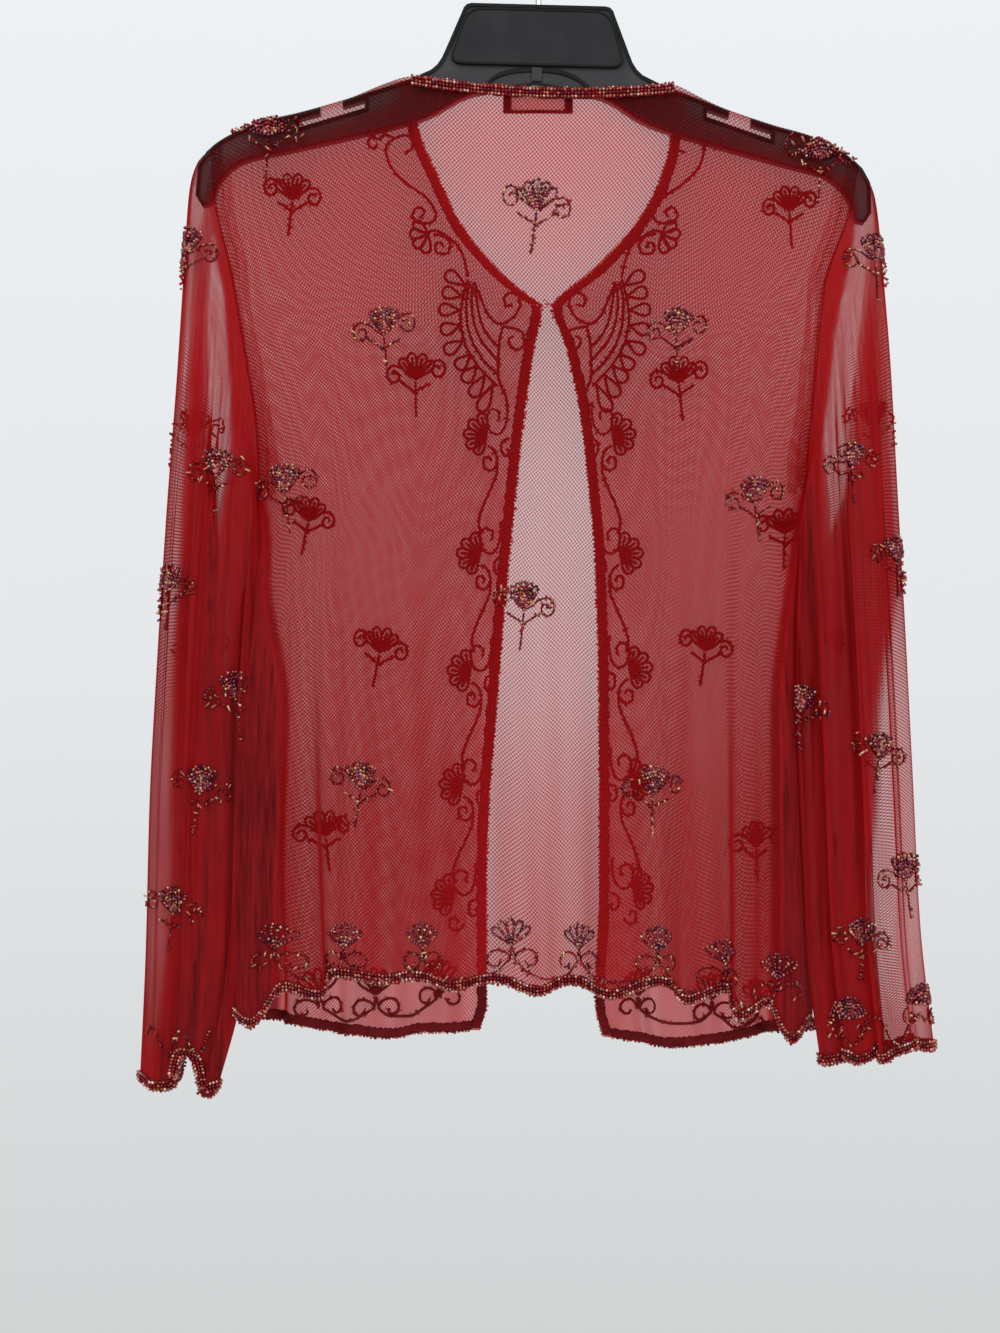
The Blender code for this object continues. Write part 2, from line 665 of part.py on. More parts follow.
def fastener():
    """Wire eye on the left edge and wire hook on the right, hooked together."""
    left, right = LEFT_FRONT.closure_point(), RIGHT_FRONT.closure_point()
    middle_y = (left[1] + right[1]) / 2
    start_x = left[0] + SEAM + CLOSURE_WIRE_RADIUS
    turns = np.linspace(math.pi / 2, -math.pi / 2, CLOSURE_BEND_STEPS + 1)
    loop = []
    for turn in turns:
        across, up = EYE_REACH * math.cos(turn), EYE_HALF_HEIGHT * math.sin(turn)
        loop.append((start_x + across, middle_y, CLOSURE_Z + up))
    wire("closure_eye", loop, CLOSURE_WIRE_RADIUS, BRIGHT_WIRE)
    bend_x = left[0] + CLOSURE_BEND_X
    hook = [(right[0] - SEAM - CLOSURE_WIRE_RADIUS, middle_y - CLOSURE_BEND_RADIUS, CLOSURE_Z)]
    for turn in turns - math.pi:
        across, deep = CLOSURE_BEND_RADIUS * math.cos(turn), CLOSURE_BEND_RADIUS * math.sin(turn)
        hook.append((bend_x + across, middle_y + deep, CLOSURE_Z))
    hook.append((bend_x + CLOSURE_TAIL, middle_y + CLOSURE_BEND_RADIUS, CLOSURE_Z))
    wire("closure_hook", hook, CLOSURE_WIRE_RADIUS, BRIGHT_WIRE)


def half_outline():
    """Right half of the hanger from its head to the middle of its underside."""
    rows = [Point(HEAD_TOP_HALF_WIDTH, HEAD_TOP_Z), Point(HEAD_FOOT_HALF_WIDTH, HEAD_FOOT_Z), ARM_TOP[0]]
    for place, drop in (
        (NOTCH_START, 0.0),
        (NOTCH_START + NOTCH_TAPER, NOTCH_DEPTH),
        (NOTCH_START + NOTCH_WIDTH - NOTCH_TAPER, NOTCH_DEPTH),
        (NOTCH_START + NOTCH_WIDTH, 0.0),
    ):
        rows.append(Point(place, arm_top_z(place) - drop))
    rows.extend(row for row in ARM_TOP if row.x > NOTCH_START + NOTCH_WIDTH)
    rows.extend(ARM_UNDERSIDE)
    return rows


def hanger():
    right = half_outline()
    left = [Point(-row.x, row.z) for row in reversed(right[:-1])]
    shape = bmesh.new()
    rim = []
    for row in right + left:
        x, z = tilted(row.x, row.z)
        rim.append(shape.verts.new((x, -HANGER_HALF_THICKNESS, z)))
    face = shape.faces.new(rim)
    raised = bmesh.ops.extrude_face_region(shape, geom=[face])["geom"]
    moved = [part for part in raised if isinstance(part, bmesh.types.BMVert)]
    bmesh.ops.translate(shape, verts=moved, vec=(0, 2 * HANGER_HALF_THICKNESS, 0))
    bmesh.ops.recalc_face_normals(shape, faces=shape.faces)
    level = HANGER_HALF_THICKNESS
    edges = [edge for edge in shape.edges if abs(edge.verts[0].co.y - edge.verts[1].co.y) < level]
    bmesh.ops.bevel(
        shape,
        geom=edges,
        offset=HANGER_ROUNDING,
        segments=HANGER_ROUNDING_STEPS,
        profile=0.5,
        affect="EDGES",
        material=-1,
    )
    data = bpy.data.meshes.new("hanger_body")
    shape.to_mesh(data)
    shape.free()
    add_object("hanger_body", data, HANGER_BLACK)


def hanger_hook():
    """Wire hook: a short neck out of the head, then a round bend over the rail."""
    centre_z = HOOK_WIRE_RADIUS - HOOK_BEND_RADIUS
    bend = []
    for angle in np.linspace(HOOK_START_ANGLE, HOOK_END_ANGLE, HOOK_ARC_STEPS):
        bend.append((HOOK_BEND_RADIUS * math.cos(angle), centre_z + HOOK_BEND_RADIUS * math.sin(angle)))
    foot_z = HEAD_TOP_Z + SEAM
    neck_z = foot_z + HOOK_NECK_RISE
    neck = [(0.0, foot_z)]
    for share in np.linspace(0, 1, HOOK_NECK_STEPS)[:-1]:
        neck.append((bend[0][0] * ramp(share), mix(neck_z, bend[0][1], share)))
    places = [tilted(x, z) for x, z in neck + bend]
    wire("hanger_hook", [(x, 0.0, z) for x, z in places], HOOK_WIRE_RADIUS, BRIGHT_WIRE)


def clear_scene():
    for piece in list(bpy.data.objects):
        bpy.data.objects.remove(piece)


clear_scene()
back_pieces()
neck_pieces()
front_pieces("left", LEFT_FRONT)
front_pieces("right", RIGHT_FRONT)
sleeve_pieces("left", LEFT_SLEEVE, 0.0, LEFT_FRONT)
sleeve_pieces("right", RIGHT_SLEEVE, 1.0, RIGHT_FRONT)
fastener()
hanger()
hanger_hook()
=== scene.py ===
import math

import bmesh
import bpy
import numpy as np
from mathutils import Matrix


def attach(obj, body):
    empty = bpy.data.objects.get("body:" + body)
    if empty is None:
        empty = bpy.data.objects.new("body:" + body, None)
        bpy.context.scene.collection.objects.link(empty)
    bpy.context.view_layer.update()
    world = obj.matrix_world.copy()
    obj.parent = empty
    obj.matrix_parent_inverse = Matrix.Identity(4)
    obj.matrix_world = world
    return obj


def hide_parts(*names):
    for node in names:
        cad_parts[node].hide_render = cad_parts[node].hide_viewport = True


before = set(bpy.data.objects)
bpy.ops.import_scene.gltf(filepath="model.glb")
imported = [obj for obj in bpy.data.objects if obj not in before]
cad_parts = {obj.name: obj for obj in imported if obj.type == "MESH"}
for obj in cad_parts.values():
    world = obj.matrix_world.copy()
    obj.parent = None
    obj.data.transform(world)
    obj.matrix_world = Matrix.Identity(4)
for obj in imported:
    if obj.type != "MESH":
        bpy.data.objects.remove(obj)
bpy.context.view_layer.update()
mm = 0.001
dice = np.random.default_rng(11)


# curves and steps used by all the cloth
def ease(t):
    t = np.clip(t, 0.0, 1.0)
    return t * t * (3 - 2 * t)


def between(a, b, t):
    return a + (b - a) * t


def smoothLine(at, places, values):  # soft curve through a table, flat at its peaks
    at, places, values = (np.asarray(part, float) for part in (at, places, values))
    step = np.diff(places)
    rise = np.diff(values) / step
    before, after = rise[:-1], rise[1:]
    sameWay = before * after > 0
    middle = np.where(sameWay, 2 * before * after / np.where(sameWay, before + after, 1.0), 0.0)
    slope = np.concatenate((rise[:1], middle, rise[-1:]))
    cell = np.clip(np.searchsorted(places, at, side="right") - 1, 0, len(step) - 1)
    t = (at - places[cell]) / step[cell]
    start = (1 + 2 * t) * (1 - t) ** 2 * values[cell] + t * (1 - t) ** 2 * step[cell] * slope[cell]
    end = t * t * (3 - 2 * t) * values[cell + 1] - t * t * (1 - t) * step[cell] * slope[cell + 1]
    return start + end


def atHeight(z, rows, column=0, heights=1):  # rows run downwards
    return smoothLine(-np.asarray(z), -rows[:, heights], rows[:, column])


def unit(vectors):
    return vectors / np.maximum(np.linalg.norm(vectors, axis=-1, keepdims=True), 1e-12)


hangerLook = {  # single sizes in metres, outlines in mm: x, z
    "tilt": math.radians(1.5),
    "halfThick": 0.004,
    "reach": 0.216,
    "armTop": [(80, -109), (121, -123.5), (150, -132.5), (175, -139), (190, -146), (205, -156),
               (212.5, -168), (213.5, -186)],
    "armUnder": [(209, -193), (203, -191), (199, -179), (185, -165), (155, -157), (115, -147),
                 (70, -134), (40, -118), (0, -111)],
    "head": [(42.5, -60), (45.3, -60.8), (47.2, -62.8), (48.4, -66), (58.3, -90.5), (60.2, -95),
             (63.0, -99.3), (66.8, -102.8)],
    "slot": {"inner": 0.108, "outer": 0.149, "mouth": (0.122, 0.136), "roof": 0.0044, "floor": 0.0090},
    "pastSlot": (0.152, 0.2118),
    "rim": 0.0021,
    "rimSoft": 0.0005,
    "recess": 0.0016,
    "webIn": 0.0008,
    "webSoft": 0.0003,
    "headTop": -0.060,
}
armTop = np.array(hangerLook["armTop"]) * mm
armUnder = np.array(hangerLook["armUnder"]) * mm


def tilted(x, z):  # the hanger swings a little about its hook
    cos, sin = math.cos(hangerLook["tilt"]), math.sin(hangerLook["tilt"])
    return x * cos + z * sin, z * cos - x * sin


drape = {  # single sizes in metres, then the lines that the jacket hangs on in mm: x, z
    "shoulderRadius": 0.0052,
    "shoulderTip": 0.948,
    "neckLeft": -0.081,
    "neckRight": 0.083,
    "neckSag": 0.0055,
    "neckEase": 0.018,
    "underarm": -0.366,
    "closure": -0.247,
    "border": 0.0065,
    "rippleFrom": 0.3,  # share of the height
    "rippleFull": 0.6,
    "leftSide": [(-207.6, -176), (-195.6, -233), (-187, -284), (-180.5, -328), (-179, -366), (-180.5, -395),
                 (-190.5, -440), (-199, -500), (-201, -600), (-199, -700)],
    "rightSide": [(196, -188), (179, -240), (172.5, -309), (168, -366), (165.5, -461), (168, -537),
                  (171, -640), (172, -708)],
    "leftOpening": [(-78.5, -133), (-64, -169), (-50, -197), (-28, -223), (-5, -243), (0.6, -247),
                    (-3.8, -271), (-9, -304), (-16.7, -371), (-26, -473), (-34.8, -613), (-34.5, -690),
                    (-39, -708)],
    "rightOpening": [(82.5, -141), (75.7, -167.5), (61, -194), (36, -221), (12, -241), (7.3, -247),
                     (16.3, -273), (25, -313), (30.4, -357), (34.8, -405), (37.5, -500), (37.8, -613),
                     (35.2, -690), (40, -711)],
    # z, stand-off of the back and of the fronts
    "standOff": [(-105, 0, 0), (-200, 3, 3), (-290, 7, 6), (-366, 10, 10), (-500, 12, 13), (-720, 13, 15)],
    # z, share of the shoulder's roll that is kept at the side seam
    "armholeShare": [(-140, 1.0), (-200, 1.15), (-270, 1.25), (-330, 0.75), (-366, 0.144), (-720, 0.144)],
}
shoulderRadius = drape["shoulderRadius"]
standOff = np.array(drape["standOff"]) * mm
armholeShare = np.array(drape["armholeShare"]) * [mm, 1]

armsOut = np.concatenate((armTop[:-1][::-1] * [-1, 1], armTop[:-1]))
shoulderLine = np.stack(tilted(armsOut[:, 0], armsOut[:, 1]), axis=1)
shoulderLine = shoulderLine + [0, shoulderRadius - hangerLook["halfThick"]]


def shoulderZ(x):
    return smoothLine(x, shoulderLine[:, 0], shoulderLine[:, 1])


def backTopZ(x):  # shoulder, back neck, shoulder
    left, right = drape["neckLeft"], drape["neckRight"]
    share = (np.asarray(x) - left) / (right - left)
    neck = between(shoulderZ(left), shoulderZ(right), share) - drape["neckSag"] * 4 * share * (1 - share)
    return np.where((share > 0) & (share < 1), neck, shoulderZ(x))


def withStart(x, rows):
    return np.concatenate(([[x, float(shoulderZ(x))]], np.array(rows) * mm))


def shoulderTip(side):
    reach = hangerLook["reach"] * drape["shoulderTip"]
    return tilted(side * reach, float(smoothLine(reach, armTop[:, 0], armTop[:, 1])))[0]


leftEdge = withStart(shoulderTip(-1), drape["leftSide"])
rightEdge = withStart(shoulderTip(1), drape["rightSide"])
leftOpening = withStart(drape["neckLeft"], drape["leftOpening"])
rightOpening = withStart(drape["neckRight"], drape["rightOpening"])


gatherLook = {  # z, reach in from the side seam, mm
    "sideLeft": [(-366, 3), (-410, 10), (-510, 37), (-600, 35), (-700, 29)],
    "sideRight": [(-366, 3), (-420, 8), (-510, 18), (-640, 21), (-700, 23)],
    "edge": 0.006, "from": -0.36, "full": 0.04, "share": 0.46,
    "lines": ((1010, 1.4, 9.0), (1900, 2.0, -14.0)), "lineShare": 0.045,  # wave, phase, drift
    # thinner over the hanger's arms
    "shoulder": 0.20, "shoulderX": 0.085, "softX": 0.012, "shoulderDeep": 0.019, "softDeep": 0.008,
}


def fineLines(lines, inwards, z):
    return sum(np.sin(wave * inwards + phase + drift * z) for wave, phase, drift in lines)


class Panel:  # u runs from the first edge to the second, v from the top to the hem
    def __init__(self, look, face, first, second, topLine, bothSides):
        self.face, self.first, self.second = face, first, second
        self.topLine, self.bothSides = topLine, bothSides
        self.folds = np.array(look["folds"]) * [mm, mm, mm, mm, 1, mm]
        self.hemRise, self.ripple = look["hemRise"], look["ripple"]
        self.turn = face if second[-1, 0] > first[-1, 0] else -face

    def side(self, u):
        return 1 - np.abs(2 * u - 1 if self.bothSides else 1 - u) ** 16

    def hemX(self, u):
        return between(self.first[-1, 0], self.second[-1, 0], u)

    def hemZ(self, u):
        dips = sum(dip * np.exp(-((self.hemX(u) - x) / width) ** 2) for x, width, _, dip, _, _ in self.folds)
        return between(self.first[-1, 1], self.second[-1, 1], u) + (self.hemRise - dips) * self.side(u)

    def topZ(self, u):
        return self.topLine(between(self.first[0, 0], self.second[0, 0], u))

    def edgeX(self, rows, v):
        return atHeight(between(rows[0, 1], rows[-1, 1], v), rows)

    def place(self, u, v):
        u, v = np.broadcast_arrays(np.asarray(u, float), np.asarray(v, float))
        x = between(self.edgeX(self.first, v), self.edgeX(self.second, v), u)
        top = self.topZ(u)
        z = between(top, self.hemZ(u), v)
        side = self.side(u)
        left = shoulderRadius - np.clip(top - z, 0, shoulderRadius)
        rolled = np.maximum(0.00015, np.sqrt(shoulderRadius ** 2 - left ** 2))  # over the hanger
        outside = np.maximum(drape["neckLeft"] - x, x - drape["neckRight"])
        rolled = between(rolled, shoulderRadius, ease(1 - outside / drape["neckEase"]))
        depth = rolled * between(atHeight(z, armholeShare, 1, 0), 1.0, side)
        depth = depth + atHeight(z, standOff, 1 if self.face < 0 else 2, 0) * side
        for foldX, width, deep, _, start, lean in self.folds:
            swell = np.exp(-((self.hemX(u) - foldX) / width) ** 2) * side * ease((v - start) / (1 - start))
            depth = depth + deep * swell
            x = x + lean * swell * ease(3 * (1 - np.abs(2 * u - 1 if self.bothSides else 1 - 2 * u)))
        low = ease((v - drape["rippleFrom"]) / drape["rippleFull"]) * side
        for wave, phase, drift, tall in self.ripple:  # faint long hanging ripples
            depth = depth + tall * mm * low * np.sin(2 * math.pi * (u * wave + phase + drift * v * v))
        return np.stack((x, self.face * depth, z), axis=-1)

    def normal(self, u, v):
        step = 1e-4
        across = self.place(u + step, v) - self.place(u - step, v)
        down = self.place(u, v + step) - self.place(u, v - step)
        return unit(np.cross(across, down)) * self.turn

    def find(self, x, z):
        u = np.full(np.shape(x), 0.5)
        for _ in range(14):
            v = (self.topZ(u) - z) / (self.topZ(u) - self.hemZ(u))
            first, second = (self.edgeX(rows, np.clip(v, 0, 1)) for rows in (self.first, self.second))
            u = np.clip((x - first) / (second - first), 0.002, 0.998)
        return u, np.clip(v, 0.002, 0.998)

    def onSurface(self, x, z, lift):
        u, v = self.find(np.asarray(x), np.asarray(z))
        return self.place(u, v) + self.normal(u, v) * lift

    def gathers(self, spots):  # cloth drawn together below the underarms
        x, z, look = spots[:, 0], spots[:, 2], gatherLook
        outwards, above = np.abs(x) - look["shoulderX"], look["shoulderDeep"] - (backTopZ(x) - z)
        total = -look["shoulder"] * (ease(outwards / look["softX"]) * ease(above / look["softDeep"]))
        for name, rows in (("sideLeft", leftEdge), ("sideRight", rightEdge)):
            reach = np.array(look[name]) * mm
            low = np.clip(z, reach[-1, 0], reach[0, 0])
            inwards = np.abs(x - atHeight(np.clip(z, rows[-1, 1], rows[0, 1]), rows))
            near = ease((atHeight(low, reach, 1, 0) - inwards) / look["edge"] + 0.5)
            drawn = look["share"] + look["lineShare"] * fineLines(look["lines"], inwards, z)
            total = total + near * drawn * ease((look["from"] - z) / look["full"])
        return total

    def fromEdge(self, v, distance):  # u at a distance in from the neck or opening edge
        probe, steepest = 0.02, 1.9
        second = self.edgeX(self.second, v)
        below, above = (self.edgeX(self.second, np.clip(v + way * probe, 0, 1)) for way in (1, -1))
        lean = (below - above) / (2 * probe * (self.second[0, 1] - self.second[-1, 1]))
        slant = np.minimum(np.sqrt(1 + lean ** 2), steepest)
        return 1 - distance * slant / np.abs(second - self.edgeX(self.first, v))


# hanging folds along the hem, mm: x, width, depth, hem dip, start of the fold (share of the height), lean
# ripples: waves across the panel, phase, drift, height in mm
backLook = {
    "folds": [(-184, 14, 13, 33, 0.30, 11), (-152, 11, 8.5, 13, 0.36, 15), (-101, 15, 5, 3, 0.62, 3),
              (-53, 15, 5.5, 6, 0.66, -3), (-6, 15, 6.5, 8, 0.66, 3), (46, 17, 6, 9, 0.60, -3),
              (99, 13, 7, 11, 0.52, -8), (131, 8, 12, 15, 0.34, -12), (158, 10, 15, 33, 0.28, -11),
              (142, 20, 0, 6, 0.90, 0)],
    "ripple": [(9.0, 0.1, 0.15, 0.8), (15.5, 0.4, -0.3, 0.45), (23.0, 0.7, 0.2, 0.3)],
    "hemRise": 0.029,
}
leftFrontLook = {
    "folds": [(-176, 9, 11, 1, 0.32, 9), (-140, 14, 7, 2, 0.38, 5), (-100, 16, 5, 3, 0.55, 3),
              (-60, 12, 4.5, 2, 0.60, -2), (-115, 45, 0, 7, 0.90, 0)],
    "ripple": [(5.0, 0.3, 0.2, 0.8), (8.7, 0.1, -0.2, 0.5)],
    "hemRise": -0.003,
}
rightFrontLook = {
    "folds": [(150, 9, 12, 1, 0.32, -6), (120, 13, 7, 2, 0.40, -3), (84, 15, 5, 3, 0.58, -3),
              (56, 11, 4, 2, 0.62, 2), (98, 42, 0, 8, 0.90, 0)],
    "ripple": [(5.0, 0.6, 0.2, 0.8), (8.7, 0.2, -0.2, 0.5)],
    "hemRise": -0.003,
}
backCloth = Panel(backLook, -1, leftEdge, rightEdge, backTopZ, True)
leftCloth = Panel(leftFrontLook, 1, leftEdge, leftOpening, shoulderZ, False)
rightCloth = Panel(rightFrontLook, 1, rightEdge, rightOpening, shoulderZ, False)

# share of the length, outer x and z, inner x and z, half depth, share that the pleats take (mm)
leftSleeveLook = {
    "stations": [(30, -218.3, -159, -181.5, -374, 7.5, 0), (75, -222.8, -174, -183.6, -386, 10, 0),
                 (160, -226.2, -220, -187, -412, 15, 200), (270, -231, -295, -193, -450, 20, 500),
                 (400, -237, -375, -197.5, -498, 23, 660), (550, -243, -470, -198.5, -560, 24, 700),
                 (700, -248, -565, -198.5, -620, 25, 680), (850, -250.3, -655, -197.5, -680, 26, 600),
                 (1000, -254, -738, -204, -740, 29, 460)],
    "lobes": [(0.25, 0.22, 6), (0.82, 0.15, 8)], "notches": [(-222.6, 8.4, 20)],  # x, half width, height
    "back": (2.5, 0.10, -8.5), "front": (2.5, 0.55, 8.0),  # pleats, phase, lean
    "lap": [(0, 0), (120, 7), (200, 11), (400, 18), (700, 17), (900, 7), (1000, 1)],  # over the body
    # z, width, share
    "pale": [(-200, 2, 0.0), (-330, 6, 0.03), (-400, 8, 0.09), (-470, 9, 0.18), (-560, 10, 0.22),
             (-640, 11, 0.22), (-700, 9, 0.13), (-730, 5, 0.0)],
    # bundles of folds from the hanger's end: z, middle, half width, share
    "bundles": [[(-165, -208, 2, 0.0), (-198, -211, 3.5, 0.20), (-237, -218, 7, 0.25),
                 (-262, -220.5, 8, 0.28), (-311, -221.5, 9.5, 0.31), (-360, -220.5, 11, 0.29),
                 (-405, -218, 14, 0.24), (-500, -218, 15, 0.10), (-560, -219, 15, 0.05)],
                [(-165, -208, 2, 0.0), (-183, -207, 3.5, 0.26), (-212, -199.5, 6.5, 0.33),
                 (-247, -192, 8, 0.34), (-287, -189.5, 7.5, 0.34), (-336, -187, 8, 0.32),
                 (-405, -189, 15, 0.24), (-500, -190, 15, 0.10), (-560, -192, 13, 0.04)],
                [(-360, -206, 0.8, 0.0), (-400, -207, 1.5, 0.42), (-480, -207.5, 1.8, 0.32),
                 (-577, -209, 2.2, 0.25), (-640, -213, 2.4, 0.25), (-700, -220, 3.0, 0.22)],
                [(-450, -194, 2, 0.0), (-500, -194.5, 5, 0.22), (-560, -196, 6, 0.16), (-620, -199, 5, 0.06)],
                [(-560, -222, 27, 0.0), (-640, -224, 28, 0.09), (-700, -226, 29, 0.15),
                 (-750, -227, 29, 0.15)]],
}
rightSleeveLook = {
    "stations": [(30, 206.8, -168, 170, -374, 7.5, 0), (75, 212.2, -182, 169.8, -386, 10, 0),
                 (160, 216.2, -220, 169.2, -412, 15, 200), (270, 221.5, -285, 166, -450, 20, 500),
                 (400, 225.8, -365, 165, -498, 24, 680), (550, 231, -460, 166.5, -560, 25, 700),
                 (700, 235.5, -550, 168.5, -620, 26, 680), (850, 240, -640, 169.5, -675, 27, 620),
                 (1000, 249, -720, 172, -722, 30, 520)],
    "lobes": [(0.94, 0.09, 5), (0.63, 0.07, 5), (0.54, 0.035, -5), (0.40, 0.08, 5), (0.21, 0.06, -3)],
    "notches": [],
    "back": (3.2, 0.30, 8.0), "front": (3.0, 0.80, -8.0),
    "lap": [(0, 0), (120, 7), (300, 5), (700, 4), (1000, -3)],
    "pale": [(-420, 1, 0.0), (-449, 5, 0.22), (-481, 12.5, 0.34), (-512, 18, 0.40), (-554, 21, 0.41),
             (-626, 31, 0.44), (-700, 31, 0.36)],
    "bundles": [[(-195, 214, 2, 0.0), (-220, 212.5, 5, 0.20), (-255, 212, 7.5, 0.26),
                 (-287, 211.7, 10.4, 0.27), (-318, 210.3, 13.2, 0.27), (-355, 210.3, 15, 0.26),
                 (-390, 206, 20, 0.24), (-430, 198, 28, 0.18), (-500, 196, 30, 0.06)],
                [(-178, 199, 2, 0.0), (-193, 196, 3.1, 0.26), (-224, 187.8, 7, 0.33),
                 (-251, 182.6, 5.7, 0.34), (-281, 178.4, 5, 0.34), (-310, 174.2, 5.7, 0.34),
                 (-339, 171, 5.5, 0.33), (-356, 171, 7.3, 0.30), (-400, 171, 10, 0.24),
                 (-470, 171, 10, 0.08)],
                [(-350, 170, 0.8, 0.0), (-372, 168.5, 2.0, 0.48), (-430, 168.5, 2.3, 0.40),
                 (-470, 168, 1.5, 0.25), (-510, 168, 1, 0.0)]],
}
sleeveFit = {  # what both sleeves share
    "nose": 0.006, "innerNose": 0.004, "seam": -0.0008, "settled": 0.16, "holeCloses": 21,
    "forward": 0.012, "forwardFrom": 0.10, "forwardFull": 0.36, "lapFrom": 0.35,
    "crisp": 0.9, "fullPleat": 0.7, "fine": (6.3, 0.16, 1.8), "paleStrip": 0.20, "innerStrip": 0.12,
    "flatShare": 0.45, "lineShare": 0.032, "linesFrom": -0.19, "linesFull": 0.12,
    "lines": ((700, 0.4, 5.0), (1150, 4.1, 9.0), (1500, 2.6, 7.0), (1990, 1.1, -5.0)),  # wave, phase, drift
    "stripEdge": 0.007, "bundleEdge": 0.0022, "bundleRim": 0.2, "bundleRimWide": 0.0013,
}


class Sleeve:  # t runs from the armhole to the cuff, w from the outer line to the inner one
    def __init__(self, look, front, backU):
        self.look, self.edge = look, front.first
        underX = float(atHeight(drape["underarm"], self.edge))
        armhole = (0, self.edge[0, 0], self.edge[0, 1], underX, drape["underarm"], shoulderRadius, 0)
        self.rows = np.concatenate(([armhole], np.array(look["stations"]) * mm))
        down = np.linspace(0, 0.7, 90)
        self.rims = {-1: backCloth.place(backU, down), 1: front.place(0.0, down)}
        self.lobes, self.lap = np.array(look["lobes"]) * [1, 1, mm], np.array(look["lap"]) * mm
        self.length = self.edge[0, 1] - self.rows[-1, 2]
        self.outwards = math.copysign(1, self.edge[0, 0])

    def station(self, t, column):
        return smoothLine(t, self.rows[:, 0], self.rows[:, column])

    def place(self, t, w, face):
        t, w = np.broadcast_arrays(np.asarray(t, float), np.asarray(w, float))
        outerX, outerZ, innerX, innerZ, depth, pleat = (self.station(t, column) for column in range(1, 7))
        rim, fit = self.rims[face], sleeveFit
        holeZ = between(self.edge[0, 1], drape["underarm"], w)
        chordX = between(self.edge[0, 0], self.rows[0, 3], w) - self.outwards * fit["seam"]
        holeX = np.interp(-holeZ, -rim[:, 2], rim[:, 0])
        holeDepth = np.abs(np.interp(-holeZ, -rim[:, 2], rim[:, 1])) * ease((1 - w) * fit["holeCloses"])
        drop = sum(low * np.exp(-((w - at) / wide) ** 2) for at, wide, low in self.lobes)
        z = between(outerZ, innerZ, w) - drop * t ** 3
        long = np.hypot(outerX - innerX, outerZ - innerZ)

        def rounding(distance, nose):
            reach = np.sqrt(2 * nose * distance)
            return reach / (reach ** 4 + depth ** 4) ** 0.25

        full = depth * rounding(w * long, np.maximum(fit["nose"], 2 * depth ** 2 / long))
        full = full * rounding((1 - w) * long, fit["innerNose"])
        pleats, phase, lean = self.look["back" if face < 0 else "front"]
        crisp = fit["crisp"]
        wave = np.tanh(crisp * np.cos(2 * math.pi * (pleats * w + phase))) / math.tanh(crisp)
        many, share, fineLean = fit["fine"]
        fine = np.sin(2 * math.pi * (many * w + 1.7 * phase + 0.4 * t))
        inside = ease((w - fit["paleStrip"] * 0.5) / fit["paleStrip"]) * ease((1 - w) / fit["innerStrip"])
        gather = np.clip(pleat / fit["fullPleat"], 0, 1)
        pleated = full * (1 - pleat * (1 + wave) / 2 - share * gather * inside * (1 + fine) / 2 * 0.5)
        pleated = pleated * between(fit["flatShare"], 1.0, np.maximum(inside, 1 - gather))
        settled = ease(t / fit["settled"])
        begun = (t - fit["forwardFrom"]) / (fit["forwardFull"] - fit["forwardFrom"])
        forward = fit["forward"] * w ** 2 * ease(begun)
        x = between(outerX, innerX, w) + (holeX - chordX) * (1 - t) ** 3
        lap = smoothLine(t, self.lap[:, 0], self.lap[:, 1])
        x = x - self.outwards * lap * ease((w - fit["lapFrom"]) / (1 - fit["lapFrom"]))
        x = x + self.outwards * mm * (lean * wave + fineLean * fine) * gather * inside
        for at, wide, high in self.look["notches"]:  # the cuff's edge rises between two folds
            z = z + high * mm * np.exp(-((x / mm - at) / wide) ** 6) * t ** 12
        return np.stack((x, face * between(holeDepth, pleated, settled) - forward, z), axis=-1)

    def ring(self, q, t):  # q goes all round: the back half, then the front half
        q, t = np.broadcast_arrays(np.asarray(q, float), np.asarray(t, float))
        back = self.place(t, np.clip(2 * q, 0, 1), -1)
        front = self.place(t, np.clip(2 - 2 * q, 0, 1), 1)
        return np.where((q <= 0.5)[..., None], back, front)

    def gathers(self, spots):  # a pale strip hangs free along the outer line, the rest is in bundles
        x, z, fit = spots[:, 0], spots[:, 2], sleeveFit
        pale = np.array(self.look["pale"]) * [mm, mm, 1]
        low = np.clip(z, pale[-1, 0], pale[0, 0])
        wide, share = atHeight(low, pale, 1, 0), atHeight(low, pale, 2, 0)
        inwards = (np.interp(-z, -self.rows[:, 2], self.rows[:, 1]) - x) * self.outwards
        strip = ease(1 - (inwards - wide) / fit["stripEdge"])
        lines = fineLines(fit["lines"], inwards, z)
        bundled = np.zeros(len(spots))
        for rows in self.look["bundles"]:
            rows = np.array(rows) * [mm, mm, mm, 1]
            low = np.clip(z, rows[-1, 0], rows[0, 0])
            middle, half, packed = (atHeight(low, rows, column, 0) for column in (1, 2, 3))
            inside = half - np.abs(x - middle)
            rim = fit["bundleRim"] * np.exp(-(inside / fit["bundleRimWide"]) ** 2)  # denser at each side
            bundled = np.maximum(bundled, packed * (ease(inside / fit["bundleEdge"] + 0.5) + rim))
        drawn = bundled + fit["lineShare"] * lines * ease((fit["linesFrom"] - z) / fit["linesFull"])
        return (1 - strip) * drawn - strip * share

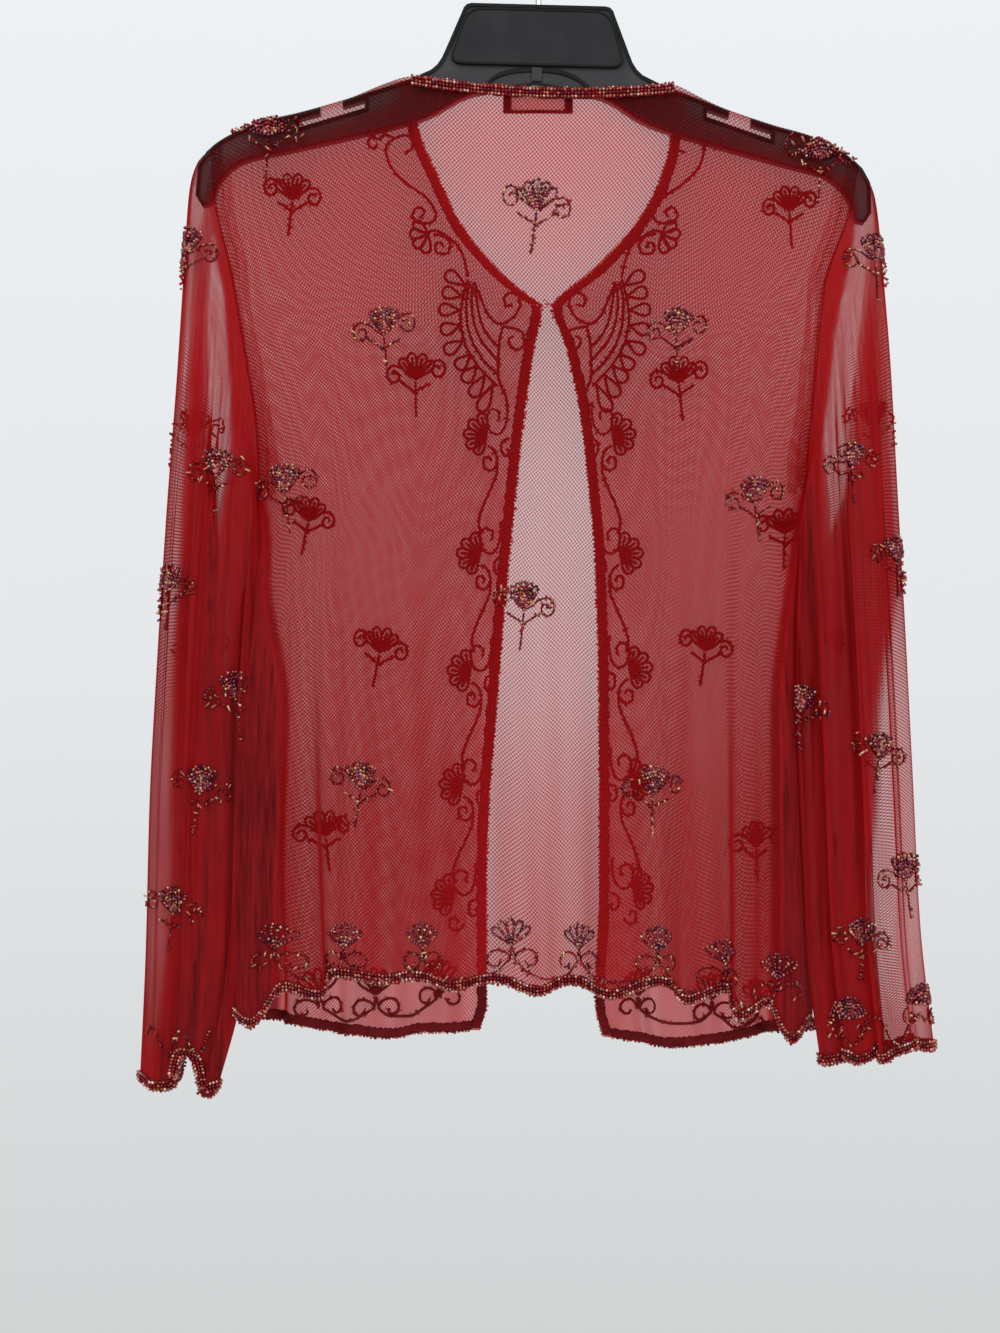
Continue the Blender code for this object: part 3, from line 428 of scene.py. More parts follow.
    def find(self, x, z, face):
        if not hasattr(self, "net"):
            self.net = np.meshgrid(np.linspace(0.02, 0.995, 150), np.linspace(0.02, 0.98, 70))
            self.netSpots = {side: self.place(*self.net, side) for side in (-1, 1)}
        spots = self.netSpots[face].reshape(-1, 3)
        near = ((spots[None, :, 0] - x[:, None]) ** 2 + (spots[None, :, 2] - z[:, None]) ** 2
                + (0.15 * (face * 0.03 - spots[None, :, 1])) ** 2).argmin(axis=1)
        t, w = (part.reshape(-1)[near] for part in self.net)
        step = 1e-4
        for _ in range(3):
            here = self.place(t, w, face)
            byT = (self.place(t + step, w, face) - here) / step
            byW = (self.place(t, w + step, face) - here) / step
            missX, missZ = x - here[:, 0], z - here[:, 2]
            det = byT[:, 0] * byW[:, 2] - byT[:, 2] * byW[:, 0]
            det = np.where(np.abs(det) < 2e-4, np.inf, det)
            t = np.clip(t + np.clip((missX * byW[:, 2] - missZ * byW[:, 0]) / det, -0.01, 0.01), 0.01, 0.998)
            w = np.clip(w + np.clip((missZ * byT[:, 0] - missX * byT[:, 2]) / det, -0.02, 0.02), 0.01, 0.99)
        return t, w

    def normal(self, t, w, face):
        step = 1e-4
        down = self.place(t + step, w, face) - self.place(t - step, w, face)
        across = self.place(t, w + step, face) - self.place(t, w - step, face)
        return unit(np.cross(across, down)) * face * -self.outwards

    def onSurface(self, x, z, lift, face=-1):
        x, z = (np.atleast_1d(np.asarray(part, float)) for part in (x, z))
        t, w = self.find(x.ravel(), z.ravel(), face)
        spots = self.place(t, w, face) + self.normal(t, w, face) * lift
        return spots.reshape(*x.shape, 3)


leftSleeve = Sleeve(leftSleeveLook, leftCloth, 0.0)
rightSleeve = Sleeve(rightSleeveLook, rightCloth, 1.0)
print("drape lines ready")


# shader values, so that materials read as sums
class Value:
    def __init__(self, tree, socket):
        self.tree, self.socket = tree, socket

    def math(self, operation, left, right=None):
        node = self.tree.nodes.new("ShaderNodeMath")
        node.operation = operation
        for slot, item in zip(node.inputs, (left, right)):
            if isinstance(item, Value):
                self.tree.links.new(item.socket, slot)
            elif item is not None:
                slot.default_value = item
        return Value(self.tree, node.outputs[0])

    def __add__(self, other):
        return self.math("ADD", self, other)

    def __radd__(self, other):
        return self.math("ADD", other, self)

    def __sub__(self, other):
        return self.math("SUBTRACT", self, other)

    def __rsub__(self, other):
        return self.math("SUBTRACT", other, self)

    def __mul__(self, other):
        return self.math("MULTIPLY", self, other)

    def __rmul__(self, other):
        return self.math("MULTIPLY", other, self)

    def __lt__(self, other):
        return self.math("LESS_THAN", self, other)

    def sine(self):
        return self.math("SINE", self)

    def size(self):
        return self.math("ABSOLUTE", self)


class Finish:
    def __init__(self, name, owner=None, surface="Principled BSDF", **fixed):
        self.material = owner or bpy.data.materials.new(name)
        self.material.use_nodes = True
        self.tree = self.material.node_tree
        self.surface = self.tree.nodes[surface]
        for socket, number in fixed.items():
            self.surface.inputs[socket.replace("_", " ")].default_value = number

    def node(self, kind, settings, links, out=0):
        node = self.tree.nodes.new("ShaderNode" + kind)
        for key, setting in settings.items():
            if key == "stops":
                ramp = node.color_ramp.elements
                while len(ramp) < len(setting):
                    ramp.new(0.5)
                for stop, (at, colour) in zip(ramp, setting):
                    stop.position, stop.color = at, (*colour, 1)
            else:
                setattr(node, key, setting)
        for key, item in links.items():
            if isinstance(item, Value):
                self.tree.links.new(item.socket, node.inputs[key])
            else:
                node.inputs[key].default_value = item
        return Value(self.tree, node.outputs[out])

    def feed(self, socket, value):
        self.tree.links.new(value.socket, self.surface.inputs[socket])
        return self

    def coords(self, kind="Object"):
        return self.node("TexCoord", {}, {}, kind)

    def axes(self, kind, names):
        split = self.node("SeparateXYZ", {}, {"Vector": self.coords(kind)}).socket.node
        return [Value(self.tree, split.outputs[name]) for name in names]

    def noise(self, scale, detail=3.0, where=None):
        return self.node("TexNoise", {}, {"Vector": where or self.coords(), "Scale": scale, "Detail": detail})

    def ramp(self, value, stops):
        return self.node("ValToRGB", {"stops": stops}, {"Fac": value})

    def mixed(self, share, first, second):
        first = first or Value(self.tree, self.surface.outputs[0])
        return self.node("MixShader", {}, {0: share, 1: first, 2: second})

    def show(self, shader):
        self.tree.links.new(shader.socket, self.tree.nodes["Material Output"].inputs["Surface"])

    def bump(self, height, strength, distance=0.0005):
        sockets = {"Height": height, "Strength": strength, "Distance": distance}
        return self.feed("Normal", self.node("Bump", {}, sockets))


netLook = {
    "back": 0.0029, "front": 0.0025, "sleeve": 0.0022, "seam": 0.0025,  # mesh, metres
    "weave": 1.45, "streaks": (420, (1, 1, 0.07)),  # fineness, how they are drawn out
    "shade": (0.7, 0.7, 0.6, 0.2),  # by streaks, by closeness, darker in the folds as painted shade, less in all
    "thread": [(0.0, (0.05, 0.003, 0.004)), (0.25, (0.20, 0.009, 0.011)), (0.80, (0.42, 0.013, 0.016))],
    # light from behind: colour, then share in one layer, less where close, less in folds as painted shade
    "through": (0.57, 0.012, 0.016), "throughShare": (0.96, 0.52, 0.25),
}


def netFinish(name, kind):  # open holes, and threads that mostly pass on the light behind them
    look = netLook
    net = Finish(name, Roughness=0.75, Specular_IOR_Level=0.06)
    across, along = net.axes("UV", "XY")
    turn = 2 * math.pi / look[kind]
    diamond = (across * turn).sine() * (along * turn).sine()
    cover, fold = (net.node("Attribute", {"attribute_name": key}, {}, "Fac") for key in ("cover", "fold"))
    packed = cover * cover * cover * cover
    fine, drawn = look["streaks"]  # gathers show as streaks down the cloth
    drawnOut = net.node("VectorMath", {"operation": "MULTIPLY"}, {0: net.coords(), 1: drawn})
    streaks = net.noise(fine, 4, drawnOut)
    # the threads are painted darker in the densest folds: painted shade
    uneven, dense, paintedFoldShade, base = look["shade"]
    shade = streaks * uneven + packed * dense - fold * paintedFoldShade - base
    net.feed("Base Color", net.ramp(shade, look["thread"]))
    net.bump(diamond, 0.25, 0.0002)
    glow = net.node("BsdfTranslucent", {}, {"Color": (*look["through"], 1)})
    single, close, deep = look["throughShare"]
    # less light passes through the threads in the densest folds: painted shade
    thread = net.mixed(single - close * packed - deep * fold, None, glow)
    closed = cover * (1 + look["weave"] * (1 - cover) * diamond)
    net.show(net.mixed(closed, net.node("BsdfTransparent", {}, {}), thread))
    return net.material


def clothFinish(name, dark, light, pitch, rough):  # close plain weave of bindings and threads
    cloth = Finish(name, Roughness=rough, Specular_IOR_Level=0.14)
    x, z = cloth.axes("Object", "XZ")
    weave = ((x * (2 * math.pi / pitch)).sine() + (z * (2 * math.pi / pitch)).sine()) * 0.25 + 0.5
    patches = cloth.noise(140, 4)
    cloth.feed("Base Color", cloth.ramp(patches * 0.7 + weave * 0.3, [(0.25, dark), (0.75, light)]))
    cloth.bump(weave + patches, 0.5, 0.0004)
    return cloth.material


def beadFinish(name):
    bead = Finish(name, Metallic=0.75, Specular_IOR_Level=0.3, Coat_Roughness=0.05)
    tint = bead.node("Attribute", {"attribute_name": "tint"}, {}, "Color")
    bead.feed("Base Color", tint)
    bead.feed("Roughness", bead.noise(900, 2) * 0.22 + 0.06)
    glints = [(0.56, (0.05, 0.05, 0.05)), (0.66, (0.7, 0.7, 0.7))]  # some beads catch the light
    bead.feed("Coat Weight", bead.ramp(bead.noise(500, 2), glints))
    return bead.material


bindingRed = clothFinish("binding_red", (0.08, 0.0026, 0.004), (0.195, 0.006, 0.008), 0.0011, 0.75)
threadRed = clothFinish("thread_red", (0.13, 0.004, 0.0055), (0.27, 0.009, 0.012), 0.0008, 0.75)
beadGlass = beadFinish("bead_glass")


# sheets and bands: a flat grid, moved to where the cloth hangs
def gridPiece(name, columns, rows, place, size, face, material, wrap=False, capped=False):
    shape = bmesh.new()
    bmesh.ops.create_grid(shape, x_segments=columns, y_segments=rows, size=0.5)
    verts = shape.verts[:]
    flat = np.array([vert.co[:2] for vert in verts]) + 0.5
    flat[:, 1] = 1 - flat[:, 1]
    spots = place(flat[:, 0], flat[:, 1])
    layer = shape.loops.layers.uv.new("cloth")
    for piece in shape.faces:
        for loop in piece.loops:
            loop[layer].uv = flat[loop.vert.index] * size
    for vert, spot in zip(verts, spots):
        vert.co = spot
    if wrap:
        bmesh.ops.remove_doubles(shape, verts=shape.verts[:], dist=2e-6)
    if capped:
        bmesh.ops.holes_fill(shape, edges=[edge for edge in shape.edges if edge.is_boundary], sides=0)
    if wrap:
        bmesh.ops.recalc_face_normals(shape, faces=shape.faces[:])
    elif sum(piece.normal.y * piece.calc_area() for piece in shape.faces) * face < 0:
        bmesh.ops.reverse_faces(shape, faces=shape.faces[:])
    return addPiece(name, meshOf(name, shape), material)


def meshOf(name, shape):
    data = bpy.data.meshes.new(name)
    shape.to_mesh(data)
    shape.free()
    data.shade_smooth()
    return data


def addObject(name, data):
    thing = bpy.data.objects.new(name, data)
    bpy.context.scene.collection.objects.link(thing)
    return thing


def addPiece(name, data, material):
    piece = addObject(name, data)
    data.materials.append(material)
    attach(piece, "root")
    return piece


def roundWire(name, lines, radius, sides, material):
    data = bpy.data.curves.new(name, "CURVE")
    data.dimensions, data.bevel_depth, data.bevel_resolution, data.use_fill_caps = "3D", radius, sides, True
    for line in lines:
        path = data.splines.new("POLY")
        path.points.add(len(line) - 1)
        path.points.foreach_set("co", np.concatenate((line, np.ones((len(line), 1))), axis=1).ravel())
    return addPiece(name, data, material)


# share of the cloth that threads cover, by height (mm), for each kind of piece
coverLook = {
    "back": [(-110, 0.74), (-150, 0.76), (-200, 0.73), (-300, 0.65), (-380, 0.60), (-480, 0.63),
             (-580, 0.75), (-690, 0.81)],
    "front": [(-120, 0.62), (-250, 0.73), (-400, 0.83), (-700, 0.83)],
    "sleeve": [(-150, 0.57), (-240, 0.59), (-330, 0.61), (-400, 0.68), (-470, 0.81), (-560, 0.88),
               (-740, 0.92)],
    "seam": [(-150, 0.36), (-400, 0.48)],
    "waves": ((122, 0.3, 6.2), (226, 1.9, -8.6), (374, 4.0, 10.4), (62, 2.2, 3.4)),  # wave, phase, drift
    "streak": 0.015, "streakFrom": -0.30, "streakFull": 0.35,
    "heights": (-0.74, -0.12), "most": 0.97, "least": 0.05, "edgeOn": 0.16, "fold": (0.93, 0.2),
}


def coverCloth(piece, kind, gathers=None):  # threads lie closer where the net is gathered into a fold
    count = len(piece.data.vertices)
    spots, normals = np.zeros(count * 3), np.zeros(count * 3)
    piece.data.vertices.foreach_get("co", spots)
    piece.data.vertices.foreach_get("normal", normals)
    spots, normals = spots.reshape(-1, 3), normals.reshape(-1, 3)
    look, x, z = coverLook, spots[:, 0], spots[:, 2]
    thread = atHeight(np.clip(z, *look["heights"]), np.array(look[kind]) * [mm, 1], 1, 0)
    low = ease((look["streakFrom"] - z) / look["streakFull"])
    thread = thread + look["streak"] * fineLines(look["waves"], x, z) * low
    if gathers:
        thread = thread + gathers(spots)
    turned = 1 / np.maximum(np.abs(normals[:, 1]), look["edgeOn"])  # more threads in line where it turns away
    cover = 1 - (1 - np.clip(thread, look["least"], look["most"])) ** turned
    # the fold mask marks the densest gathers, where the net finish paints shade
    start, span = look["fold"]
    for name, values in (("cover", cover), ("fold", ease((thread - start) / span))):
        piece.data.attributes.new(name, "FLOAT", "POINT").data.foreach_set("value", values)


sheets = {}
sheetLook = {  # node: columns, rows, width and length of the cut, its flat area
    "back_panel": (260, 180, (0.46, 0.61), 0.226),
    "front_left": (140, 180, (0.22, 0.61), 0.100),
    "front_right": (130, 180, (0.20, 0.61), 0.086),
    "sleeve_left": (240, 110, (0.24, 0.60), 0.095),
    "sleeve_right": (260, 110, (0.26, 0.58), 0.110),
}
for node, cloth, face in (("back_panel", backCloth, -1), ("front_left", leftCloth, 1),
                          ("front_right", rightCloth, 1), ("sleeve_left", leftSleeve, 0),
                          ("sleeve_right", rightSleeve, 0)):
    columns, rows, cut, _ = sheetLook[node]
    kind = node.split("_")[0]
    piece = gridPiece("net_" + node, columns, rows, cloth.place if face else cloth.ring, np.array(cut), face,
                      netFinish("net_" + node, kind), wrap=not face)
    coverCloth(piece, kind, cloth.gathers)
    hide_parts(node)
    sheets[node] = piece
    print("sheet", node, round(sum(polygon.area for polygon in piece.data.polygons), 4))


# seam allowances round the armholes: narrow gathered net on the inside
seamLook = {
    "wide": 0.0055, "start": 0.0, "frontStart": 0.004, "top": 0.006, "past": 1.02, "cut": (0.008, 0.2),
    "uneven": ((0.25, 7, 1), (0.12, 23, 0)),  # share of the width, wave, phase
    "inside": 0.0011, "ruffle": (0.0005, 40, 3),  # height, wave along, wave across
}
seams = {"back_panel": [], "front_left": [], "front_right": []}
for node, cloth, fromFirst in (("back_panel", backCloth, True), ("back_panel", backCloth, False),
                               ("front_left", leftCloth, True), ("front_right", rightCloth, True)):
    rim = cloth.first if fromFirst else cloth.second
    lowest = (rim[0, 1] - drape["underarm"]) / (rim[0, 1] - rim[-1, 1])

    def ribbon(a, b, cloth=cloth, fromFirst=fromFirst, lowest=lowest, node=node):
        v = between(seamLook["top"], lowest * seamLook["past"], b)
        span = np.abs(cloth.edgeX(cloth.second, v) - cloth.edgeX(cloth.first, v))
        start = seamLook["start"] if node == "back_panel" else seamLook["frontStart"]
        uneven = sum(share * np.sin(wave * b + phase) for share, wave, phase in seamLook["uneven"])
        inwards = (start + a * seamLook["wide"] * (1 + uneven)) / span
        u = inwards if fromFirst else 1 - inwards
        high, along, across = seamLook["ruffle"]
        inside = seamLook["inside"] + high * np.sin(along * b + across * a)
        return cloth.place(u, v) - cloth.normal(u, v) * inside[:, None]

    name = f"seam_{node}_{'a' if fromFirst else 'b'}"
    piece = gridPiece(name, 5, 90, ribbon, np.array(seamLook["cut"]), cloth.face, netFinish(name, "seam"))
    coverCloth(piece, "seam")
    seams[node].append(piece)


# beads and threads are gathered per host, then made into one mesh each
palette = {
    "gold": (0.55, 0.32, 0.17), "copper": (0.46, 0.130, 0.090), "pale": (0.70, 0.42, 0.34),
    "purple": (0.24, 0.050, 0.085), "plum": (0.14, 0.016, 0.036), "red": (0.28, 0.012, 0.016),
    "dark": (0.06, 0.009, 0.017), "bronze": (0.30, 0.095, 0.062), "rose": (0.48, 0.170, 0.175),
}
petalMix = ["purple", "purple", "plum", "plum", "copper", "bronze", "red", "red", "dark", "gold", "rose"]
curlMix = ["copper", "copper", "red", "red", "red", "plum", "bronze", "gold"]
bandMix = ["copper", "copper", "bronze", "rose", "pale", "red", "red"]


def baseShape(make):
    shape = bmesh.new()
    make(shape)
    shape.verts.ensure_lookup_table()
    points = np.array([vert.co[:] for vert in shape.verts])
    corners = [[vert.index for vert in piece.verts] for piece in shape.faces]
    shape.free()
    return points, corners


beadLook = {"seed": 0.00110, "seedStep": 0.0022, "bugle": (0.0038, 0.00072), "bugleStep": 0.0044}
seedShape = baseShape(lambda shape: bmesh.ops.create_icosphere(shape, subdivisions=1, radius=1.0))
bugleShape = baseShape(lambda shape: bmesh.ops.create_cone(shape, cap_ends=True, segments=6,
                                                           radius1=1, radius2=1, depth=1))


class Beadwork:  # what is sewn to one piece of cloth
    def __init__(self):
        self.spots, self.axes, self.sizes, self.tints, self.kinds, self.lines = [], [], [], [], [], []

    def add(self, spots, axes, kind, colours, swell=1.0):
        count = len(spots)
        if not count:
            return
        long, thick = (beadLook["seed"], beadLook["seed"]) if kind == "seed" else beadLook["bugle"]
        vary = 1 + 0.12 * dice.standard_normal(count).clip(-1.5, 1.5)
        self.spots.append(spots)
        self.axes.append(unit(axes + 0.15 * dice.standard_normal((count, 3))))
        self.sizes.append(np.stack((thick * vary, thick * vary, long * vary), axis=1) * swell)
        shade = np.array([palette[dice.choice(colours)] for _ in range(count)])
        self.tints.append(shade * (1 + 0.18 * dice.standard_normal((count, 1)).clip(-1.6, 1.6)))
        self.kinds.append(np.full(count, kind == "bugle"))

    def make(self, name, slot):
        made = []
        if self.spots:
            spots, axes, sizes, tints, kinds = (np.concatenate(part) for part in
                                                (self.spots, self.axes, self.sizes, self.tints, self.kinds))
            helper = np.where(np.abs(axes[:, 2:]) < 0.9, [[0, 0, 1.0]], [[1.0, 0, 0]])
            side = unit(np.cross(axes, helper))
            other = np.cross(axes, side)
            points, corners, colours, start = [], [], [], 0
            for isBugle, (shapePoints, shapeCorners) in ((False, seedShape), (True, bugleShape)):
                pick = kinds == isBugle
                local = shapePoints[None] * sizes[pick][:, None, :]
                frames = np.stack((side[pick], other[pick], axes[pick]), axis=1)
                strewn = np.einsum("bpi,bij->bpj", local, frames) + spots[pick][:, None, :]
                many = len(shapePoints)
                for _ in strewn:
                    corners.extend([[start + corner for corner in one] for one in shapeCorners])
                    start += many
                points.append(strewn.reshape(-1, 3))
                colours.append(np.repeat(tints[pick], many, axis=0))
            points, colours = np.concatenate(points), np.concatenate(colours)
            data = bpy.data.meshes.new(name)
            data.from_pydata(points.tolist(), [], corners)
            paint = np.concatenate((np.clip(colours, 0.004, 0.95), np.ones((len(colours), 1))), axis=1)
            data.attributes.new("tint", "FLOAT_COLOR", "POINT").data.foreach_set("color", paint.ravel())
            data.shade_smooth()
            made.append(addPiece(name, data, beadGlass))
            print("beads", name, len(spots))
        if self.lines:
            radius = stitchLook["frontThread" if "front" in name else "thread"]
            made.append(roundWire(name + "_thread", self.lines, radius, 0, threadRed))
        return made


def spaced(points, step):  # even steps along a line
    points = np.asarray(points, float)
    run = np.concatenate(([0], np.cumsum(np.linalg.norm(np.diff(points, axis=0), axis=1))))
    count = max(2, int(round(run[-1] / step)) + 1)
    at = np.linspace(0, run[-1], count)
    return np.stack([np.interp(at, run, points[:, axis]) for axis in range(points.shape[1])], axis=1)


def curved(points, count=40):  # soft line through a few points
    points = np.asarray(points, float)
    at = np.arange(len(points))
    tight = np.linspace(0, len(points) - 1, count)
    return np.stack([smoothLine(tight, at, points[:, axis]) for axis in range(points.shape[1])], axis=1)


def petal(length, width, turn, base=(0.0, 0.0)):
    phi = np.linspace(0.35, 2 * math.pi - 0.35, 34)
    along = length * (1 - np.cos(phi)) / 2
    across = width * np.sin(phi) * (1 - np.cos(phi)) / 2 * 1.3
    turn = math.radians(turn)
    return np.stack((base[0] + along * math.sin(turn) + across * math.cos(turn),
                     base[1] + along * math.cos(turn) - across * math.sin(turn)), axis=1)


def scroll(centre, start, sweep, big, small, count=44):
    angle = np.radians(np.linspace(start, start + sweep, count))
    radius = np.linspace(big, small, count)
    return np.stack((centre[0] + radius * np.cos(angle), centre[1] + radius * np.sin(angle)), axis=1)


sprigLook = {"petals": (-27, -13, 0, 13, 28), "long": 20.5, "wide": 2.7,
             "openPetals": (-40, -20, 0, 20, 40), "openWide": 3.3}


def fan(turns, long, wide, filled=90):  # petals turned by less than filled have stitches inside
    parts = []
    for turn in turns:
        reach = long * (1 - 0.0022 * min(abs(turn), 60))
        parts.append(("petal", petal(reach, wide, turn)))
        if abs(turn) < filled:
            tip = np.array([math.sin(math.radians(turn)), math.cos(math.radians(turn))])
            parts.append(("heart", np.linspace(0.22, 0.80, 6)[:, None] * tip * reach))
    return parts


def leaves():  # curls, side twigs and stem below a flower
    parts = []
    for side in (-1, 1):
        flip = np.array([side, 1.0])
        high = 0.0 if side < 0 else -7.0
        link = curved([(0.5, 1), (5, 5.5 + high * 0.4), (10, 12.5 + high * 0.75), (15.5, 16.3 + high)], 16)
        curl = scroll((15.8, 8.6 + high), 92, -440, 7.6, 2.0) * [0.86, 1] + [2.2, 0]
        parts.append(("curl", np.concatenate((link[:-3], curl[1:])) * flip))
        parts.append(("curl", np.array([(-1.5, -10), (4, -6.5), (11.5, -1.8)]) * flip))
    parts.append(("stem", np.array([(0, -1.5), (-1.2, -10), (-1.8, -19), (-3.0, -27.6)])))
    return parts


def sprig():
    return fan(sprigLook["petals"], sprigLook["long"], sprigLook["wide"]) + leaves()


def openSprig():  # wider loops round a filled middle
    return fan(sprigLook["openPetals"], sprigLook["long"], sprigLook["openWide"], filled=24) + leaves()


def threadSprig():  # fewer, wider petals
    return fan((-40, -14, 14, 40), 20.5, 4.0) + leaves()


def shoulderSprig():  # a low wide fan, so that it stays on the shoulder
    return fan((-64, -43, -21, 0, 21, 43, 64), 14.0, 2.2) + leaves()


def hemFlower():
    parts = fan((-42, -21, 0, 21, 42), 16.5, 2.2, filled=0)
    for side in (-1, 1):
        flip = np.array([side, 1.0])
        parts.append(("curl", scroll((8.6, -9.0), 165, -330, 7.5, 2.2) * flip))
        parts.append(("curl", np.array([(0, -1), (0.8, -5), (1.4, -9)]) * flip))
    return parts


def placed(parts, x, z, turn=0.0, scale=1.0, flip=1):  # from the motif's own mm to the jacket's metres
    cos, sin = math.cos(math.radians(turn)), math.sin(math.radians(turn))
    result = []
    for kind, line in parts:
        across, up = line[:, 0] * flip * scale, line[:, 1] * scale
        moved = np.stack((x + across * cos - up * sin, z + across * sin + up * cos), axis=1)
        result.append((kind, moved * mm))
    return result


stitchLook = {"beadLift": 0.0011, "heartLift": 1.35, "lostBugles": 0.12, "lostSeeds": 0.55,
              "threadLift": -0.0009, "threadStep": 0.0016, "thread": 0.0006, "frontThread": 0.0009}


def sew(work, parts, surface, threads=True):
    lift = stitchLook["beadLift"]
    for kind, line in parts:
        if kind in ("petal", "heart"):
            path = spaced(line, beadLook["seedStep"])
            higher = stitchLook["heartLift"] if kind == "heart" else 1.0
            spots = surface(path[:, 0], path[:, 1], lift * higher)
            work.add(spots, np.gradient(spots, axis=0), "seed", petalMix)
        else:  # bugles with a small bead between some of them
            path = spaced(line, beadLook["bugleStep"] * 0.5)
            spots = surface(path[:, 0], path[:, 1], lift)
            middle, ends, axes = spots[1::2], spots[2::2], np.gradient(spots, axis=0)[1::2]
            keep = dice.random(len(middle)) > stitchLook["lostBugles"]
            work.add(middle[keep], axes[keep], "bugle", curlMix)
            keep = dice.random(len(ends)) > stitchLook["lostSeeds"]
            work.add(ends[keep], axes[:len(ends)][keep], "seed", curlMix, 0.8)
        if threads:
            path = spaced(line, stitchLook["threadStep"])
            work.lines.append(surface(path[:, 0], path[:, 1], stitchLook["threadLift"]))


works = {node: Beadwork() for node in sheets}


def sprigs(node, places, surface, maker=sprig, swing=8, scale=1.0, threads=True):
    for x, z in places:
        turn = float(dice.uniform(-swing, swing))
        size = scale * float(dice.uniform(0.94, 1.05))
        flip = 1 if dice.random() > 0.5 else -1
        sew(works[node], placed(maker(), x, z, turn, size, flip), surface, threads)


motifPlaces = {  # flower bases, mm
    "back": [(-3, -191), (-99, -270), (85, -270), (-161, -369), (134, -376), (-11, -443), (-114, -555),
             (70, -558)],
    "shoulders": [(-172, -143), (176, -158)],
    "frontLeft": [(-158, -181), (-80, -295), (-149, -385), (-103, -469), (-142, -587)],
    "frontRight": [(158, -188), (88, -297), (156, -393), (106, -468), (141, -594)],
    "sleeveLeft": [(-223, -219), (-204, -359), (-235, -431), (-192, -499), (-214, -558), (-232, -634)],
    "sleeveRight": [(210, -223), (194, -354), (225, -412), (162, -506), (212, -536), (230, -613),
                    (201, -653)],
    "sleeveFrontLeft": [(-222, -332), (-216, -470), (-214, -600)],
    "sleeveFrontRight": [(212, -325), (190, -470), (184, -600)],
    "backHem": [(-169, -654), (-124, -654), (-74, -654), (-20, -652), (24, -654), (73, -656), (117, -664),
                (149, -673)],
    "frontHemLeft": [(-146, -689), (-108, -689), (-64, -682)],
    "frontHemRight": [(63, -689), (113, -692), (142, -695)],
    "edgeLeft": [(-34.6, -331), (-39, -407), (-45, -482), (-50, -555), (-55, -626)],
    "edgeRight": [(46, -331), (51, -407), (57, -480), (58, -552), (59, -622)],
}
sprigs("back_panel", motifPlaces["back"][:1], backCloth.onSurface, openSprig, 2)
sprigs("back_panel", motifPlaces["back"][1:], backCloth.onSurface, scale=0.9)
sprigs("back_panel", motifPlaces["shoulders"], backCloth.onSurface, shoulderSprig, 4)
sprigs("front_left", motifPlaces["frontLeft"], leftCloth.onSurface, threadSprig, scale=0.82)
sprigs("front_right", motifPlaces["frontRight"], rightCloth.onSurface, threadSprig, scale=0.82)
for side, sleeve in (("Left", leftSleeve), ("Right", rightSleeve)):
    node = "sleeve_" + side.lower()
    sprigs(node, motifPlaces["sleeve" + side], sleeve.onSurface, scale=0.85)
    sprigs(node, motifPlaces["sleeveFront" + side],
           lambda x, z, lift, sleeve=sleeve: sleeve.onSurface(x, z, lift, 1), scale=0.85, threads=False)
print("sprigs sewn")


# vine of scrolls along a hem, between its flowers
def hemVine(node, places, surface, dip):
    sprigs(node, places, surface, hemFlower, 4)
    for (x0, z0), (x1, z1) in zip(places, places[1:]):
        line = curved([(x0 + 1.5, z0 - 9), (x0 + 9, z0 - dip), (x0 * 0.5 + x1 * 0.5, (z0 + z1) / 2 - dip - 3),
                       (x1 - 9, z1 - dip), (x1 - 1.5, z1 - 9)], 40) * mm
        sew(works[node], [("curl", line)], surface)


hemVine("back_panel", motifPlaces["backHem"], backCloth.onSurface, 17)
hemVine("front_left", motifPlaces["frontHemLeft"], leftCloth.onSurface, 14)
hemVine("front_right", motifPlaces["frontHemRight"], rightCloth.onSurface, 14)


# vine down each front edge: petals turned away from the opening, scrolls towards it, mm from the flower
edgeLook = {
    "petals": ((-14, 15.5), (-48, 16.5), (-82, 17.0), (-116, 16.5), (-149, 15.0)), "wide": 3.7,
    "upper": [(13.1, 22), (13.5, 15.3), (10.9, 4.4), (6.6, 1.2), (1.9, 3.9), (0.1, 11.7), (3.6, 17.5),
              (8.3, 14.6), (7.7, 10.2)],
    "lower": [(0.7, -5.8), (5.1, -9.5), (6.8, -15.3), (6.6, -22.6), (2.9, -32.8), (-2.2, -44.4),
              (-5.1, -54.6), (-3.5, -62)],
    "curl": [(6.5, -17), (5.8, -18.9), (2.5, -21.8), (-1.9, -18.9), (-1.9, -13.8), (1.9, -13.1), (2.9, -16)],
    "inner": [(14.6, -1.5), (10.2, -2.9), (9.2, -8), (11.7, -12.4), (14.6, -10.2), (13, -7.5)],
}


def edgeVine(node, places, surface, side):
    for number, (x, z) in enumerate(places):
        parts = sum((fan((turn,), long, edgeLook["wide"], 180) for turn, long in edgeLook["petals"]), [])
        lowest = number == len(places) - 1
        names = ("upper", "curl", "inner") if lowest else ("upper", "lower", "curl", "inner")
        parts += [("curl", curved(edgeLook[name], 44)) for name in names]
        sew(works[node], placed(parts, x, z, 0, 1.0, -side), surface)


edgeVine("front_left", motifPlaces["edgeLeft"], leftCloth.onSurface, -1)
edgeVine("front_right", motifPlaces["edgeRight"], rightCloth.onSurface, 1)

